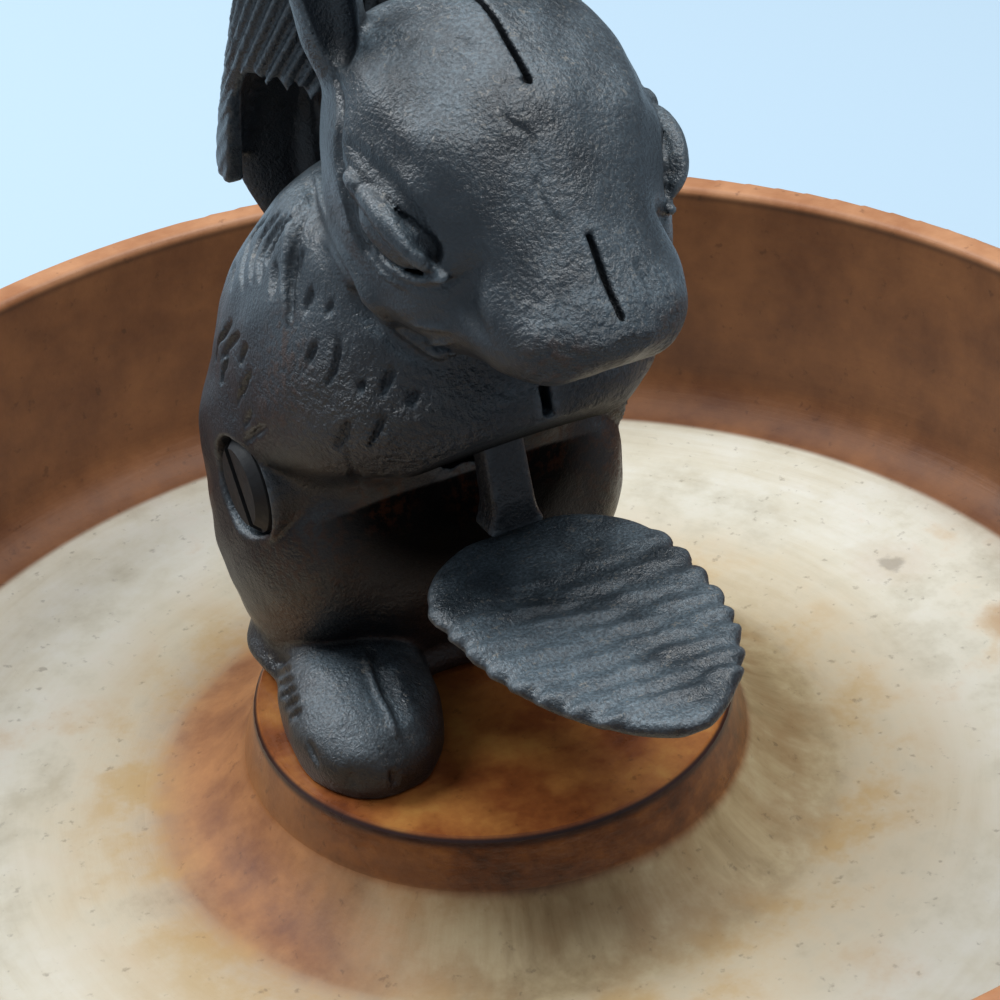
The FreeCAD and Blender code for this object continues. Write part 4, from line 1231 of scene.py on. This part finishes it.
def floor_colour(wood):
    """The pale bare floor, with warm patches, a darker edge and dark stains."""
    share = fade(wood.blotch, 0.36, 0.60, 0.35, 0.9)
    colour = mixed(share, ramp(wood.rings, PALE), ramp(wood.mottle, GREY))
    near = times(fade(wood.soft_reach, *WARM_FLOOR), fade(wood.mottle, 0.35, 0.65, 0.35, 0.95))
    colour = mixed(near, colour, (0.50, 0.34, 0.15))
    patches = fade(times(wood.mottle, wood.blotch), 0.30, 0.44, 0.0, 0.5)
    colour = mixed(patches, colour, (0.52, 0.34, 0.14))
    for across, along, size, strength in FLOOR_SPOTS:
        gap = wood.node("VectorMath", {0: wood.flat, 1: (across, along, 0.0)}, operation="DISTANCE")
        gap = plus(gap["Value"], times(minus(wood.speck, 0.5), size * 1.5))
        colour = mixed(fade(gap, size * 3.5, size, 0.0, 0.55 * strength), colour, (0.38, 0.20, 0.07))
        colour = mixed(fade(gap, size, size * 0.4, 0.0, strength), colour, (0.035, 0.018, 0.014))
    return mixed(times(fade(wood.soft_reach, *STAINED_EDGE), 0.55), colour, (0.30, 0.17, 0.075))


def with_wall(wood, colour):
    """The dark wall, its rim and its outside over the floor, and where the wall is."""
    wall = mixed(fade(wood.blotch, 0.40, 0.65, 0.0, 0.6), ramp(wood.mottle, WALL_TONE), (0.040, 0.014, 0.007))
    soft_height = plus(wood.height, times(wood.shift, 0.6))
    on_wall = times(fade(soft_height, FLOOR_TOP + 0.0015, FLOOR_TOP + 0.0065), fade(wood.reach, *WALL_FOOT))
    colour = mixed(on_wall, colour, wall)
    on_rim = fade(wood.height, RIM_TOP - 0.0022, RIM_TOP - 0.0008)
    colour = mixed(on_rim, colour, ramp(wood.mottle, RIM_TONE))
    leaning = minus(wood.reach, times(wood.height, 0.16))
    beyond = times(fade(leaning, BOWL_REACH - 0.020, BOWL_REACH - 0.018),
                   fade(wood.height, RIM_TOP - 0.001, RIM_TOP - 0.003))
    return mixed(beyond, colour, ramp(wood.mottle, OUTSIDE)), on_wall


def with_pedestal(wood, colour):
    """The cove and the glossy band over the floor, and where the band is."""
    warm = ramp(wood.mottle, WARM)
    warm_side = fade(plus(wood.side, times(wood.along, -0.35)), -0.008, -0.044)
    cove = ramp(wood.streaks, COVE)
    cove = mixed(fade(wood.mottle, 0.40, 0.68, 0.0, 0.6), cove, (0.24, 0.135, 0.050))
    soft_edge = plus(wood.soft_reach, times(minus(wood.mottle, 0.5), 0.012))
    above_floor = fade(wood.height, FLOOR_TOP - 0.0004, FLOOR_TOP + 0.0004)
    on_cove = times(fade(soft_edge, *COVE_REACH), above_floor)
    colour = mixed(on_cove, colour, mixed(warm_side, cove, warm))
    band = ramp(wood.streaks, BAND)
    band = mixed(fade(wood.mottle, 0.45, 0.65, 0.0, 0.5), band, (0.10, 0.030, 0.010))
    on_band = times(fade(plus(wood.height, times(wood.shift, 0.15)), 0.0170, 0.0190),
                    fade(wood.reach, *BAND_REACH))
    return mixed(on_band, colour, mixed(times(warm_side, 0.6), band, warm)), on_band


def with_deck(wood, colour):
    """The orange top of the pedestal with the dark line at its edge, and where it is."""
    deck = ramp(wood.mottle, DECK_TONE)
    deck = mixed(fade(wood.blotch, 0.46, 0.62, 0.0, 0.45), deck, (0.44, 0.21, 0.045))
    on_deck = times(fade(wood.height, DECK - 0.0008, DECK - 0.0001), fade(wood.reach, *DECK_REACH))
    colour = mixed(on_deck, colour, deck)
    edge_line = times(fade(wood.height, DECK - 0.0022, DECK - 0.0010),
                      fade(wood.height, DECK - 0.0001, DECK - 0.0006))
    edge_line = times(edge_line, fade(wood.reach, *EDGE_LINE_REACH))
    return mixed(edge_line, colour, (0.030, 0.010, 0.008)), on_deck


def bowl_wood():
    """Turned wood: dark walls, a pale bare floor, and a glossy orange pedestal."""
    made, shader = material("bowl_wood")
    wood = Wood(shader)
    colour, on_wall = with_wall(wood, floor_colour(wood))
    colour, on_band = with_pedestal(wood, colour)
    colour, on_deck = with_deck(wood, colour)
    colour = mixed(fade(wood.speck, 0.62, 0.74, 0.0, 0.35), colour, (0.10, 0.055, 0.025), "MULTIPLY")
    polish = larger(larger(on_deck, on_band), times(on_wall, 0.35))
    gloss = plus(minus(0.62, times(polish, 0.32)), times(minus(wood.mottle, 0.5), 0.2))
    relief = plus(times(wood.rings, 0.6), times(wood.speck, 0.4))
    coat(shader, colour, gloss, relief, 0.35, 0.0006)
    return made


def dress(piece, made):
    """Gives a piece one material."""
    piece.data.materials.clear()
    piece.data.materials.append(made)


iron = cast_iron()
squirrel = sculpt_squirrel()
right = squirrel_half("squirrel_right", squirrel, HEAD_SINK, False)
left = squirrel_half("squirrel_left", squirrel, NUT_SINK, True)
lever_clay = sculpt_lever()
lever_points, lever_faces = lever_clay.skin()
lever = mesh_piece("squirrel_lever", lever_points, lever_faces)
# The lever's masks: painted shade in its hollows and a painted highlight on its edges.
store_masks(lever, shade_and_wear_of(lever_clay, lever_points))
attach(lever, "lever")
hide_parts("body_right")
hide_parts("body_left")
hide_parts("tail_lever")
for piece in (right, left, lever):
    dress(piece, iron)
black_screw = aged_metal("black_screw", (0.010, 0.011, 0.013), 0.0, 0.6)
plated_steel = aged_metal("plated_steel", (0.42, 0.40, 0.36), 1.0, 0.42)
for node in ("pivot_screw", "pivot_nut"):
    dress(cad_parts[node], black_screw)
for node in ("mount_screws", "mount_washers"):
    dress(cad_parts[node], plated_steel)
dress(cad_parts["bowl"], bowl_wood())


# Stage. Metres and watts.

FLOOR_REACH = 2.5
FLOOR_COLOUR = (0.47, 0.62, 0.74)
SKY_COLOUR = (0.82, 0.90, 1.0)
SKY_STRENGTH = 0.26


def add_stage():
    """A pale floor and a pale sky."""
    mesh = bpy.data.meshes.new("floor")
    corners = [(a * FLOOR_REACH, b * FLOOR_REACH, 0) for a, b in ((-1, -1), (1, -1), (1, 1), (-1, 1))]
    mesh.from_pydata(corners, [], [(0, 1, 2, 3)])
    floor = bpy.data.objects.new("floor", mesh)
    bpy.context.collection.objects.link(floor)
    made, shader = material("floor_paint")
    feed(shader.inputs["Base Color"], FLOOR_COLOUR)
    feed(shader.inputs["Roughness"], 0.9)
    mesh.materials.append(made)
    world = bpy.data.worlds.new("sky")
    bpy.context.scene.world = world
    world.use_nodes = True
    sky = world.node_tree.nodes["Background"].inputs
    feed(sky["Color"], SKY_COLOUR)
    feed(sky["Strength"], SKY_STRENGTH)


def add_light(name, place, target, size, power, colour):
    """A square soft light that faces a point."""
    lamp = bpy.data.lights.new(name, "AREA")
    lamp.size = size
    lamp.energy = power
    lamp.color = colour
    light = bpy.data.objects.new(name, lamp)
    bpy.context.collection.objects.link(light)
    place = np.array(place, float)
    back = place - np.array(target, float)
    back /= np.linalg.norm(back)
    right = np.cross([0, 0, 1], back)
    right /= np.linalg.norm(right)
    matrix = Matrix(np.stack([right, np.cross(back, right), back], axis=1).tolist()).to_4x4()
    matrix.translation = place.tolist()
    light.matrix_world = matrix


add_stage()
add_light("window", (-0.55, 0.75, 0.95), (0, 0, 0.08), 0.55, 12.0, (0.93, 0.97, 1.0))
add_light("ceiling", (0.3, -0.15, 1.4), (0, 0, 0.05), 0.8, 15.0, (0.97, 0.99, 1.0))
bpy.context.scene.view_settings.view_transform = "Standard"
